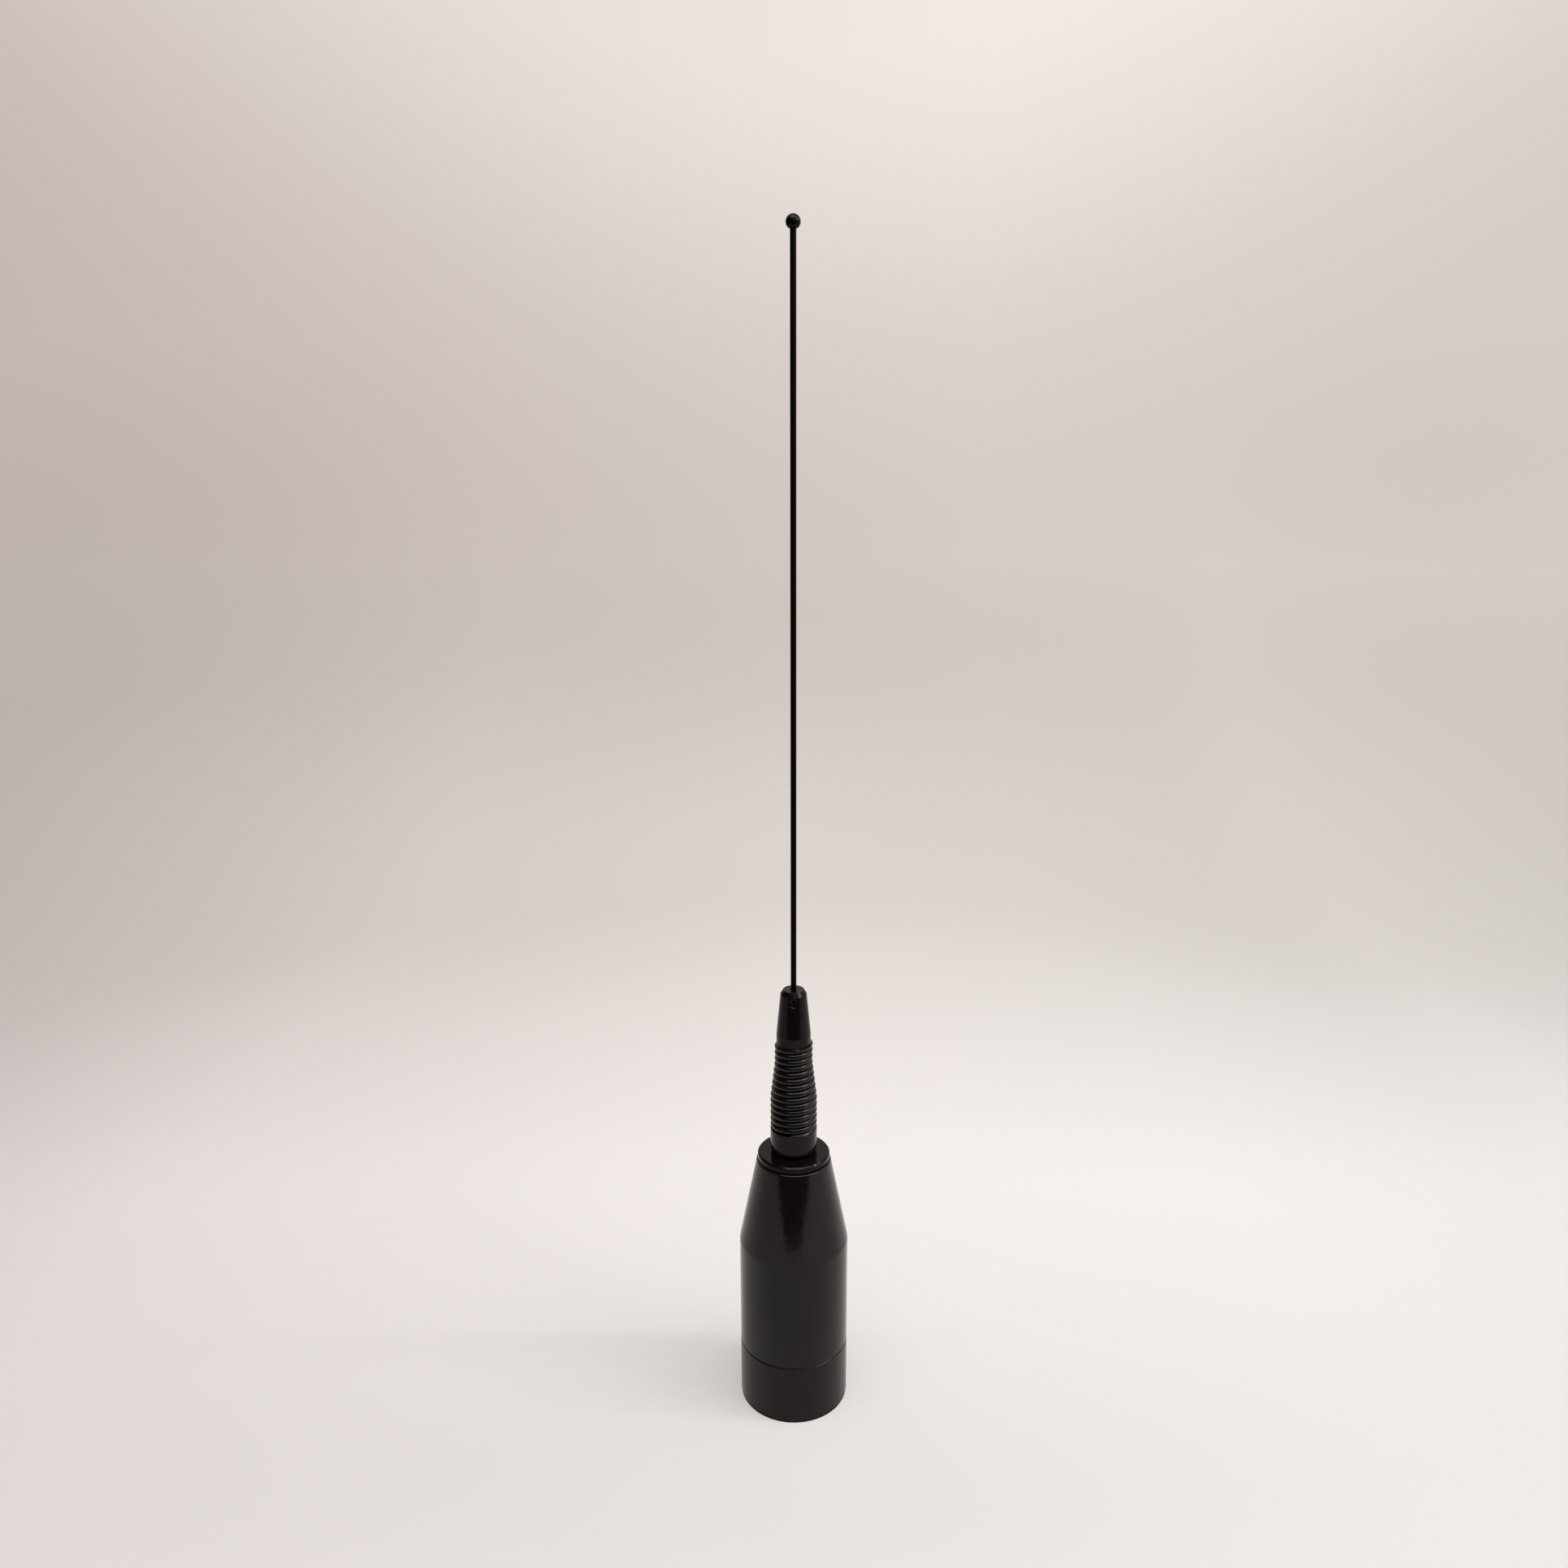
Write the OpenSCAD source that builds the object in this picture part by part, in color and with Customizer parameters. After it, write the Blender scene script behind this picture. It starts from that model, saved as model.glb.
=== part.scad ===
// Vehicle whip antenna: roof-thread base, loading-coil housing, shock spring, ferrule and whip.
// Millimetres. Origin at the centre of the gasket's underside, +Z up, set screw facing -Y.

/* [Base] */
// Outer diameter of the base ring and of the housing's straight part
base_d = 38; // [36:0.5:44]
// Height of the base ring's outer wall
ring_h = 21.2; // [20:0.2:30]
// Edge break on the ring and the housing where they meet, seen as the seam line
seam_edge = 0.28; // [0.1:0.02:0.5]
// Edge break round the ring's foot
foot_edge = 0.4; // [0.2:0.1:0.6]
// Height of the spigot that carries the housing
spigot_h = 5.8; // [4.5:0.1:9]
// Wall of the spigot
spigot_wall = 2.35; // [2.1:0.05:3]
// Thickness of the rubber gasket
gasket_h = 1.8; // [1.2:0.1:2.6]
// How far the gasket stands out below the ring
gasket_proud = 0.6; // [0.3:0.1:0.9]
// Wall left outside the gasket's groove
gasket_cover = 0.7; // [0.5:0.1:1]
// How far the gasket's flange sits back from the ring's wall
gasket_back = 0.1; // [0.05:0.05:0.5]
// Material left above the gasket's groove
groove_roof = 0.6; // [0.4:0.1:1.5]
// Wire thickness of the housing's sealing ring
oring_d = 1.2; // [0.8:0.1:1.4]

/* [Roof thread] */
// Bore of the 1-1/8 inch roof-mount thread
thread_d = 28.58; // [26:0.01:30]
// Height of the threaded wall, lead-in included
thread_len = 7; // [5:0.5:8]
// Lead-in at the thread's mouth
thread_lead = 0.5; // [0.2:0.1:1]
// Wall of the brass insert round the thread
insert_wall = 2.1; // [1.5:0.1:3]
// Clearance between the ring's lip and the thread
lip_clear = 0.35; // [0.2:0.05:0.6]
// Wall of the ring's lip inside the gasket
lip_wall = 0.9; // [0.6:0.1:1.2]
// Thickness of the insert's web above the thread
web_t = 2; // [1.5:0.1:3]
// Width of the web's seat under the insulator
seat_w = 3.1; // [2.6:0.1:4]

/* [Centre contact] */
// Thickness of the insulator
insulator_t = 3; // [2.2:0.1:4]
// Diameter of the insulator's screws
screw_d = 1.9; // [1.5:0.1:2.2]
// Diameter of their heads
screw_head_d = 3.2; // [2.6:0.1:3.4]
// Height of their heads
screw_head_h = 1.2; // [0.8:0.1:1.6]
// Number of insulator screws
screw_n = 3; // [2:1:4]
// Outer diameter of the contact's barrel
barrel_d = 6.8; // [6:0.1:8]
// Bore of the barrel
barrel_bore = 4.1; // [3.6:0.1:4.8]
// Length of the barrel
barrel_len = 10; // [9:0.5:14]
// Diameter of the barrel's flange
flange_d = 10; // [9:0.5:13]
// Thickness of the flange
flange_h = 1; // [0.6:0.1:1.6]
// Lip that keeps the plunger in the barrel
barrel_lip = 1; // [0.6:0.1:1.4]
// Diameter of the plunger's tip
tip_d = 3.2; // [2.4:0.1:3.4]
// Height of the plunger's tip face above the thread's upper end
tip_lift = 0.2; // [0.1:0.1:0.6]
// Travel of the plunger
plunger_travel = 2; // [1:0.1:2.2]
// Height of the plunger's collar
collar_h = 2; // [1:0.1:2.4]
// Wire of the plunger's spring
contact_wire = 0.4; // [0.3:0.05:0.5]
// Turns of the plunger's spring
contact_turns = 5; // [4:1:5]

/* [Coil] */
// Outer diameter of the coil former
former_d = 19; // [17:0.5:20]
// Wall of the former
former_wall = 2; // [1.5:0.1:2.5]
// Thickness of the foot flange and of the top plate
former_plate = 3; // [2:0.1:4]
// Wire of the loading coil
coil_wire = 1.2; // [0.8:0.1:1.4]
// Turns of the loading coil
coil_turns = 12; // [6:1:16]
// Rise of each turn
coil_pitch = 3; // [2:0.1:3.6]
// Height of the first turn above the insulator
coil_start = 6; // [4:0.5:8]
// Turn that the feed lead taps
tap_turn = 2; // [1:1:4]
// Wire of the feed lead
lead_wire = 1; // [0.6:0.1:1.2]

/* [Housing] */
// Height of the housing's straight part
cylinder_h = 39.9; // [32:0.1:50]
// Height of its cone
cone_h = 30.6; // [26:0.1:40]
// Diameter at the top of the cone
cone_top_d = 25.6; // [25:0.1:30]
// Wall of the housing
housing_wall = 2; // [1.6:0.1:2.4]
// Thickness of the housing's roof
roof_t = 2.3; // [1.8:0.1:3.5]
// Radius of the shoulder between the straight part and the cone
shoulder_round = 8; // [2:0.5:14]
// Edge break at the top of the cone
cone_edge = 0.4; // [0.2:0.1:0.8]

/* [Top fittings] */
// Diameter of the top stud, 5/16 inch
stud_d = 7.94; // [6:0.01:8.5]
// Length of stud inside the spring adapter
stud_engage = 7.5; // [5:0.5:8]
// Width across the stud nut's flats
nut_af = 12.7; // [12:0.1:14]
// Height of the nut
nut_h = 6.5; // [5:0.1:7]
// Thickness of the split lock washer
washer_h = 1.6; // [1:0.1:2]
// Thickness of the solder lugs
lug_t = 0.5; // [0.3:0.1:0.8]
// Width of the solder lugs' tails
lug_tail_w = 1.6; // [1:0.1:2]
// Thickness of the seal under the top disc
seal_h = 0.6; // [0.4:0.1:1]
// How far the seal sits back from the disc's rim
seal_back = 0.7; // [0.3:0.1:1.2]
// Diameter of the top disc
disc_d = 24.9; // [20:0.1:25]
// Thickness of the top disc
disc_h = 2.1; // [1.4:0.1:3.5]
// Chamfer on the top disc's rim
disc_edge = 0.55; // [0.2:0.05:1]
// Height of the spring adapter's body
adapter_h = 9; // [8.5:0.1:12]
// Slope under the adapter, down to its foot
adapter_slope = 1.5; // [0.5:0.1:2]
// Height of the adapter's spigot inside the spring
adapter_spigot = 4.5; // [3:0.1:6]

/* [Shock spring] */
// Wire of the spring
spring_wire = 2; // [1.6:0.05:2]
// Rise of each turn
spring_pitch = 2.215; // [2.2:0.005:2.8]
// Height between the spring's two ground ends
spring_h = 31.2; // [28:0.1:36]
// Outer diameter of the lower turns
spring_low_d = 16.05; // [15.5:0.05:17]
// Outer diameter of the upper turns
spring_top_d = 13; // [12.6:0.05:15]
// Height of the straight lower turns
spring_low_h = 11.4; // [8:0.1:14]
// Height of the tapering turns above them
spring_taper_h = 12.8; // [8:0.1:15]
// Thickness left at the ground wire ends
ground_tip = 0.4; // [0.3:0.1:1]
// Diameter of the copper braid inside the spring
braid_d = 3; // [2:0.1:4]
// Depth of the braid's sockets
braid_socket = 1.5; // [1:0.1:1.8]

/* [Ferrule] */
// Diameter of the collar on the spring
ferrule_d = 11.74; // [11:0.02:12.6]
// Height of the straight collar
ferrule_collar = 3.3; // [2:0.1:6]
// Height of the taper
ferrule_taper = 14.4; // [12:0.1:18]
// Diameter at the top of the taper
ferrule_top_d = 8.92; // [8:0.02:10]
// Height of the top chamfer
ferrule_chamfer = 1.5; // [0.6:0.1:2]
// Diameter of the flat top
ferrule_flat_d = 7.1; // [6:0.1:8]
// Height of the ferrule's spigot inside the spring
ferrule_spigot = 4.4; // [3.6:0.1:6]
// How far the whip's bore goes below the collar's seat
bore_drop = 1.4; // [0.5:0.1:2]
// Diameter of the set screw
set_screw_d = 3; // [2.5:0.1:4]
// Width across the set screw's hex socket
set_screw_af = 1.5; // [1.2:0.1:1.7]
// Distance of the set screw below the ferrule's top
set_screw_drop = 3.2; // [2.8:0.1:5]
// How far the set screw sits below the surface
set_screw_sink = 0.9; // [0.4:0.1:1.2]

/* [Whip] */
// Diameter of the whip
whip_d = 1.9; // [1.2:0.1:2.6]
// Length of the whip
whip_len = 255; // [150:1:500]
// Length of whip inside the ferrule
whip_insert = 16; // [12:0.5:16.5]
// Diameter of the tip ball
ball_d = 4.5; // [4:0.1:8]
// Flat on the ball's underside, measured down from its centre
ball_flat = 1.75; // [1.4:0.05:2.2]

/* [Hidden] */
$fn = 96;
// Clearances: pressed or screwed together, pieces that slide, and parts that only lie near
fit_gap = 0.05;
slide_gap = 0.05;
free_gap = 0.2;
rest_gap = 0.1;
spigot_gap = 0.35;
nut_clear = 1;
// How far a cut runs past the face it opens
over = 1;

// Rings in each turn of the windings, and sides of their wire
coil_rings = 16;
spring_rings = 16;
contact_rings = 10;
wire_sides = 6;

// Base heights
ring_z0 = gasket_proud;
foot_z = ring_z0 + foot_edge / 2;
ring_top = ring_z0 + ring_h;
insert_z0 = gasket_h + groove_roof;
web_z0 = insert_z0 + thread_len;
web_z1 = web_z0 + web_t;
insulator_z1 = web_z1 + insulator_t;
spigot_z1 = ring_top + spigot_h;
oring_z = ring_top + spigot_h / 2;

// Base radii
base_r = base_d / 2;
thread_r = thread_d / 2;
insert_r = thread_r + insert_wall;
lip_r = thread_r + lip_clear;
gasket_r0 = lip_r + lip_wall + rest_gap;
gasket_r1 = base_r - gasket_cover;
spigot_r = base_r - housing_wall - fit_gap;
cavity_r = spigot_r - spigot_wall;
insulator_r = cavity_r - free_gap;
web_hole_r = cavity_r - seat_w;
screw_r = screw_d / 2;
screw_at = cavity_r - free_gap - screw_head_d / 2 - rest_gap;
screw_slot = 0.5;
// The first screw clamps the ground lug, a little way round from the coil's lower lead
screw_turn = -35;

// Contact
barrel_r = barrel_d / 2;
barrel_z0 = web_z0 + tip_lift + plunger_travel + free_gap;
barrel_z1 = barrel_z0 + barrel_len;
bore_r = barrel_bore / 2;
collar_z0 = barrel_z0 + barrel_lip + rest_gap / 2;
collar_z1 = collar_z0 + collar_h;
plug_h = 1;
guide_r = bore_r / 2;
guide_h = 1.4;
cap_h = 1;
post_r = 0.7;
post_h = 3;

// Housing heights and radii
shoulder_z = ring_top + cylinder_h;
cone_z1 = shoulder_z + cone_h;
cone_top_r = cone_top_d / 2;
cone_angle = atan((base_r - cone_top_r) / cone_h);
roof_z0 = cone_z1 - roof_t;
stud_r = stud_d / 2;
stud_hole_r = stud_r + rest_gap;

// Top stack, upwards from the housing's roof
seal_z1 = cone_z1 + seal_h;
disc_z1 = seal_z1 + disc_h;
disc_r = disc_d / 2;
adapter_z1 = disc_z1 + adapter_h;
adapter_r = spring_low_d / 2;
adapter_spigot_r = adapter_r - spring_wire - spigot_gap;
adapter_spigot_z1 = adapter_z1 + adapter_spigot;

// Stack under the housing's roof, downwards
washer_z0 = roof_z0 - washer_h;
lug_z0 = washer_z0 - lug_t;
nut_z0 = lug_z0 - nut_h;
former_z1 = nut_z0 - nut_clear;
stud_z0 = former_z1 - former_plate + rest_gap;
lug_ring_r = nut_af / 2;

// Coil
former_r = former_d / 2;
former_foot_r = screw_at - screw_head_d / 2 - free_gap;
former_slack = 0.5;
coil_r = (former_r + fit_gap + coil_wire / 2) / cos(180 / coil_rings);
coil_z0 = insulator_z1 + coil_start;
coil_z1 = coil_z0 + coil_turns * coil_pitch;
tap_z = coil_z0 + tap_turn * coil_pitch;
post_z = barrel_z1 + cap_h + post_h / 2;
ground_screw = screw_at * [cos(screw_turn), sin(screw_turn), 0];
ground_tail = [coil_r, 0, 0] - ground_screw;
ground_tail_len = norm(ground_tail) + coil_wire / 2;

// Spring
spring_z0 = adapter_z1 + rest_gap;
spring_z1 = spring_z0 + spring_h;
spring_wire_r = spring_wire / 2;
spring_phase = -104.5;
spring_turns = (spring_h + 2 * (spring_wire_r - ground_tip)) / spring_pitch;

// Ferrule and whip
ferrule_z0 = spring_z1 + rest_gap;
ferrule_z1 = ferrule_z0 + ferrule_collar;
ferrule_z2 = ferrule_z1 + ferrule_taper;
ferrule_z3 = ferrule_z2 + ferrule_chamfer;
ferrule_spigot_z0 = ferrule_z0 - ferrule_spigot;
ferrule_spigot_r = spring_top_d / 2 - spring_wire - spigot_gap;
set_screw_z = ferrule_z3 - set_screw_drop;
set_screw_r = set_screw_d / 2;
bore_z0 = ferrule_z0 - bore_drop;
whip_r = whip_d / 2;
whip_z0 = ferrule_z3 - whip_insert;
whip_z1 = whip_z0 + whip_len;
whip_bore_r = whip_r + slide_gap;
ball_r = ball_d / 2;

// Colours
gloss_black = [0.05, 0.046, 0.046];
satin_black = [0.035, 0.032, 0.032];
rubber_black = [0.03, 0.03, 0.03];
brass = [0.75, 0.58, 0.27];
tinned = [0.7, 0.69, 0.66];
copper = [0.72, 0.4, 0.24];
steel = [0.62, 0.62, 0.63];
nylon = [0.88, 0.86, 0.8];
phenolic = [0.5, 0.3, 0.15];

// Radius of the tapering part of the ferrule at a height
function ferrule_r_at(z) =
  (ferrule_d + (ferrule_top_d - ferrule_d) * (z - ferrule_z1) / ferrule_taper) / 2;

// Outer radius of the spring at a height: straight, then an even taper, then straight
function spring_r_at(z) =
  let (t = min(1, max(0, (z - spring_z0 - spring_low_h) / spring_taper_h)))
  (spring_low_d + (spring_top_d - spring_low_d) * t) / 2;

// One ring of a winding round the Z axis, with a corner of the section facing outwards
function winding_ring(r, angle, z, wire_r) = [
  for (s = [0:wire_sides - 1])
    let (reach = r + wire_r * cos(360 * s / wire_sides))
    [reach * cos(angle), reach * sin(angle), z + wire_r * sin(360 * s / wire_sides)]
];

// Rings of the shock spring from its lower to its upper end
function spring_ring_list() = [
  for (i = [0:ceil(spring_turns * spring_rings)])
    let (turn = min(i / spring_rings, spring_turns))
    let (z = spring_z0 - spring_wire_r + ground_tip + turn * spring_pitch)
    winding_ring(spring_r_at(z) - spring_wire_r, spring_phase + 360 * turn, z, spring_wire_r)
];

// Rings of the plunger's spring between the collar and the cap
function contact_ring_list() =
  let (low = collar_z1 + rest_gap + contact_wire / 2)
  let (high = barrel_z1 - plug_h - rest_gap - contact_wire / 2)
  let (r = bore_r - rest_gap - contact_wire / 2)
  let (last = contact_turns * contact_rings)
  [
    for (i = [0:last])
      winding_ring(r, 360 * i / contact_rings, low + (high - low) * i / last, contact_wire / 2)
  ];

// Direction along a path at point i
function path_way(path, i) =
  let (a = path[max(i - 1, 0)], b = path[min(i + 1, len(path) - 1)])
  (b - a) / norm(b - a);

// Rings square to a path; side gives a direction across the path at each point
function path_rings(path, side, wire_r) = [
  for (i = [0:len(path) - 1])
    let (way = path_way(path, i))
    let (across = side[i] - way * (side[i] * way))
    let (u = across / norm(across), v = cross(way, u))
    [
      for (s = [0:wire_sides - 1])
        let (a = 360 * s / wire_sides)
        path[i] + wire_r * (cos(a) * u + sin(a) * v)
    ]
];

// Least distance between each ring and the next turn of the same winding
function turn_gap(rings, per_turn) = min([
  for (i = [0:len(rings) - per_turn - 2])
    for (k = [-1:1])
      for (a = rings[i])
        for (b = rings[i + per_turn + k]) norm(a - b)
]);

// Closed tube through a list of rings
module ring_tube(rings) {
  sides = wire_sides;
  last = len(rings) - 1;
  walls = [
    for (i = [0:last - 1])
      for (s = [0:sides - 1])
        let (a = i * sides + s, b = i * sides + (s + 1) % sides)
        each [[a, a + sides, b + sides], [a, b + sides, b]]
  ];
  foot = [for (s = [1:sides - 2]) [0, s, s + 1]];
  head = [for (s = [1:sides - 2]) [last * sides, last * sides + s + 1, last * sides + s]];
  polyhedron([for (ring = rings) each ring], concat(walls, foot, head));
}

// Ring terminal with a tail along +X
module solder_lug(hole_r, ring_r, tail_len) {
  linear_extrude(lug_t)
    difference() {
      union() {
        circle(ring_r);
        translate([0, -lug_tail_w / 2])
          square([tail_len, lug_tail_w]);
      }
      circle(hole_r);
    }
}

// Copies a piece round the insulator's screw circle
module at_screws() {
  for (i = [0:screw_n - 1])
    rotate(screw_turn + 360 * i / screw_n)
      translate([screw_at, 0, 0])
        children();
}

// Places a piece under the first screw, with +X towards the coil's lower lead
module at_ground_lug() {
  translate([ground_screw.x, ground_screw.y, insulator_z1])
    rotate(atan2(ground_tail.y, ground_tail.x))
      children();
}

// Ring in the groove, with a flange under the base ring's foot
module base_gasket() {
  color(rubber_black)
    rotate_extrude()
      polygon([
        [gasket_r0, 0],
        [base_r - gasket_back, 0],
        [base_r - gasket_back, foot_z],
        [gasket_r1, foot_z],
        [gasket_r1, gasket_h],
        [gasket_r0, gasket_h]
      ]);
}

module base_ring() {
  seal_floor = spigot_r - oring_d - rest_gap;
  seal_half = oring_d / 2 + rest_gap;
  color(gloss_black)
    rotate_extrude()
      polygon([
        [lip_r, ring_z0],
        [gasket_r0 - rest_gap, ring_z0],
        [gasket_r0 - rest_gap, gasket_h],
        [gasket_r1 + rest_gap, gasket_h],
        [gasket_r1 + rest_gap, foot_z],
        [base_r - foot_edge / 2, foot_z],
        [base_r, ring_z0 + foot_edge],
        [base_r, ring_top - seam_edge],
        [base_r - seam_edge, ring_top],
        [spigot_r, ring_top],
        [spigot_r, oring_z - seal_half],
        [seal_floor, oring_z - seal_half],
        [seal_floor, oring_z + seal_half],
        [spigot_r, oring_z + seal_half],
        [spigot_r, spigot_z1 - foot_edge],
        [spigot_r - foot_edge, spigot_z1],
        [cavity_r, spigot_z1],
        [cavity_r, web_z1],
        [insert_r + fit_gap, web_z1],
        [insert_r + fit_gap, insert_z0],
        [lip_r, insert_z0]
      ]);
}

module thread_insert() {
  color(brass)
    difference() {
      rotate_extrude()
        polygon([
          [thread_r + thread_lead, insert_z0],
          [insert_r, insert_z0],
          [insert_r, web_z1],
          [web_hole_r, web_z1],
          [web_hole_r, web_z0],
          [thread_r, web_z0],
          [thread_r, insert_z0 + thread_lead]
        ]);
      at_screws()
        translate([0, 0, web_z0 - over])
          cylinder(r = screw_r + fit_gap, h = web_t + 2 * over);
    }
}

module contact_insulator() {
  color(nylon)
    translate([0, 0, web_z1])
      difference() {
        cylinder(r = insulator_r, h = insulator_t);
        translate([0, 0, -over])
          cylinder(r = barrel_r + fit_gap, h = insulator_t + 2 * over);
        at_screws()
          translate([0, 0, -over])
            cylinder(r = screw_r + rest_gap, h = insulator_t + 2 * over);
      }
}

// The first screw also clamps the ground lug, so its head sits one lug higher
module insulator_screws() {
  color(steel)
    for (i = [0:screw_n - 1])
      rotate(screw_turn + 360 * i / screw_n)
        translate([screw_at, 0, i == 0 ? lug_t : 0]) {
          translate([0, 0, web_z0 + lug_t])
            cylinder(r = screw_r, h = insulator_z1 - web_z0 - lug_t);
          translate([0, 0, insulator_z1])
            difference() {
              cylinder(d = screw_head_d, h = screw_head_h);
              translate([-screw_head_d, -screw_slot / 2, screw_head_h / 2])
                cube([2 * screw_head_d, screw_slot, screw_head_h]);
            }
        }
}

module ground_lug() {
  color(tinned)
    at_ground_lug()
      solder_lug(screw_r + rest_gap, screw_head_d / 2, ground_tail_len);
}

module contact_barrel() {
  color(brass)
    rotate_extrude()
      polygon([
        [tip_d / 2 + slide_gap, barrel_z0],
        [barrel_r, barrel_z0],
        [barrel_r, insulator_z1],
        [flange_d / 2, insulator_z1],
        [flange_d / 2, insulator_z1 + flange_h],
        [barrel_r, insulator_z1 + flange_h],
        [barrel_r, barrel_z1],
        [bore_r, barrel_z1],
        [bore_r, barrel_z0 + barrel_lip],
        [tip_d / 2 + slide_gap, barrel_z0 + barrel_lip]
      ]);
}

module contact_plunger() {
  tip_r = tip_d / 2;
  tip_z = web_z0 + tip_lift;
  tip_edge = 0.4;
  color(brass)
    rotate_extrude()
      polygon([
        [0, tip_z],
        [tip_r - tip_edge, tip_z],
        [tip_r, tip_z + tip_edge],
        [tip_r, collar_z0],
        [bore_r - slide_gap, collar_z0],
        [bore_r - slide_gap, collar_z1],
        [guide_r, collar_z1],
        [guide_r, collar_z1 + guide_h],
        [0, collar_z1 + guide_h]
      ]);
}

module contact_spring() {
  color(steel)
    ring_tube(contact_ring_list());
}

module barrel_cap() {
  color(tinned)
    translate([0, 0, barrel_z1]) {
      translate([0, 0, -plug_h])
        cylinder(r = bore_r - fit_gap, h = plug_h);
      cylinder(r = barrel_r, h = cap_h);
      translate([0, 0, cap_h])
        cylinder(r = post_r, h = post_h);
    }
}

module housing_seal() {
  color(rubber_black)
    rotate_extrude()
      translate([spigot_r - oring_d / 2, oring_z])
        circle(d = oring_d);
}

// Half section of the housing's outside, with the shoulder drawn as an arc
module housing_outline() {
  reach = shoulder_round * tan(cone_angle / 2);
  union() {
    polygon([
      [0, ring_top],
      [base_r - seam_edge, ring_top],
      [base_r, ring_top + seam_edge],
      [base_r, shoulder_z - reach],
      [base_r - reach * sin(cone_angle), shoulder_z + reach * cos(cone_angle)],
      [cone_top_r + cone_edge * tan(cone_angle), cone_z1 - cone_edge],
      [cone_top_r - cone_edge, cone_z1],
      [0, cone_z1]
    ]);
    intersection() {
      translate([base_r - shoulder_round, shoulder_z - reach])
        circle(shoulder_round, $fn = 4 * $fn);
      translate([0, shoulder_z - reach])
        square([base_r, reach * (1 + cos(cone_angle))]);
    }
  }
}

module housing_shell() {
  inner_top = base_r - housing_wall - (roof_z0 - shoulder_z) * tan(cone_angle);
  color(gloss_black)
    rotate_extrude()
      difference() {
        housing_outline();
        polygon([
          [0, ring_top - over],
          [base_r - housing_wall, ring_top - over],
          [base_r - housing_wall, shoulder_z],
          [inner_top, roof_z0],
          [0, roof_z0]
        ]);
        translate([0, roof_z0 - over])
          square([stud_hole_r, roof_t + 2 * over]);
      }
}

module coil_former() {
  window_z = min(post_z, tap_z) - lead_wire;
  window_h = abs(tap_z - post_z) + 2 * lead_wire;
  window_w = lead_wire + 2 * former_slack;
  notch_w = lug_tail_w + 2 * former_slack;
  color(phenolic)
    difference() {
      rotate_extrude()
        polygon([
          [former_r - former_wall, insulator_z1],
          [former_foot_r, insulator_z1],
          [former_foot_r, insulator_z1 + former_plate],
          [former_r, insulator_z1 + former_plate],
          [former_r, former_z1],
          [stud_r + rest_gap, former_z1],
          [stud_r + rest_gap, former_z1 - former_plate],
          [former_r - former_wall, former_z1 - former_plate]
        ]);
      // Notch for the ground lug and the coil's lower lead
      at_ground_lug()
        translate([0, -notch_w / 2, -over])
          cube([ground_tail_len + former_slack, notch_w, former_plate + 2 * over]);
      // Window for the feed lead
      translate([former_r - former_wall - over, -window_w / 2, window_z])
        cube([former_wall + 2 * over, window_w, window_h]);
    }
}

// Vertical lead from the ground lug, the turns, then a vertical lead to the stud lug
module loading_coil() {
  low_z = insulator_z1 + lug_t + fit_gap;
  high_z = lug_z0 - fit_gap;
  turn_points = [
    for (i = [1:coil_turns * coil_rings - 1])
      let (a = 360 * i / coil_rings)
      [coil_r * cos(a), coil_r * sin(a), coil_z0 + coil_pitch * i / coil_rings]
  ];
  path = concat(
    [[coil_r, 0, low_z], [coil_r, 0, coil_z0 - coil_wire]],
    turn_points,
    [[coil_r, 0, coil_z1 + coil_wire], [coil_r, 0, high_z]]
  );
  color(copper)
    ring_tube(path_rings(path, [for (p = path) [p.x, p.y, 0]], coil_wire / 2));
}

module feed_lead() {
  end_x = coil_r - coil_wire / 2 - rest_gap;
  bend_x = (former_r - former_wall) / 2;
  bend_run = 2 * lead_wire;
  path = [
    [post_r + fit_gap, 0, post_z],
    [bend_x, 0, post_z],
    [bend_x + bend_run / 2, 0, (post_z + tap_z) / 2],
    [bend_x + bend_run, 0, tap_z],
    [end_x, 0, tap_z]
  ];
  color(copper)
    ring_tube(path_rings(path, [for (p = path) [0, 1, 0]], lead_wire / 2));
}

module stud_lug() {
  color(tinned)
    translate([0, 0, lug_z0])
      solder_lug(stud_hole_r, lug_ring_r, coil_r + coil_wire / 2);
}

module stud_lock_washer() {
  split_w = 0.8;
  color(steel)
    translate([0, 0, washer_z0])
      difference() {
        cylinder(r = lug_ring_r, h = washer_h);
        translate([0, 0, -over])
          cylinder(r = stud_hole_r, h = washer_h + 2 * over);
        translate([-nut_af, -split_w / 2, -over])
          cube([nut_af, split_w, washer_h + 2 * over]);
      }
}

module stud_nut() {
  corner_r = nut_af / 2 / cos(30);
  bevel = corner_r - nut_af / 2;
  color(brass)
    translate([0, 0, nut_z0])
      difference() {
        intersection() {
          cylinder(r = corner_r, h = nut_h, $fn = 6);
          rotate_extrude()
            polygon([
              [0, 0],
              [nut_af / 2, 0],
              [corner_r, bevel / 2],
              [corner_r, nut_h - bevel / 2],
              [nut_af / 2, nut_h],
              [0, nut_h]
            ]);
        }
        translate([0, 0, -over])
          cylinder(r = stud_r + fit_gap, h = nut_h + 2 * over);
      }
}

module top_stud() {
  stud_z1 = disc_z1 + stud_engage;
  stud_edge = 0.6;
  color(brass)
    rotate_extrude()
      polygon([
        [0, stud_z0],
        [stud_r - stud_edge, stud_z0],
        [stud_r, stud_z0 + stud_edge],
        [stud_r, stud_z1 - stud_edge],
        [stud_r - stud_edge, stud_z1],
        [0, stud_z1]
      ]);
}

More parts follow.
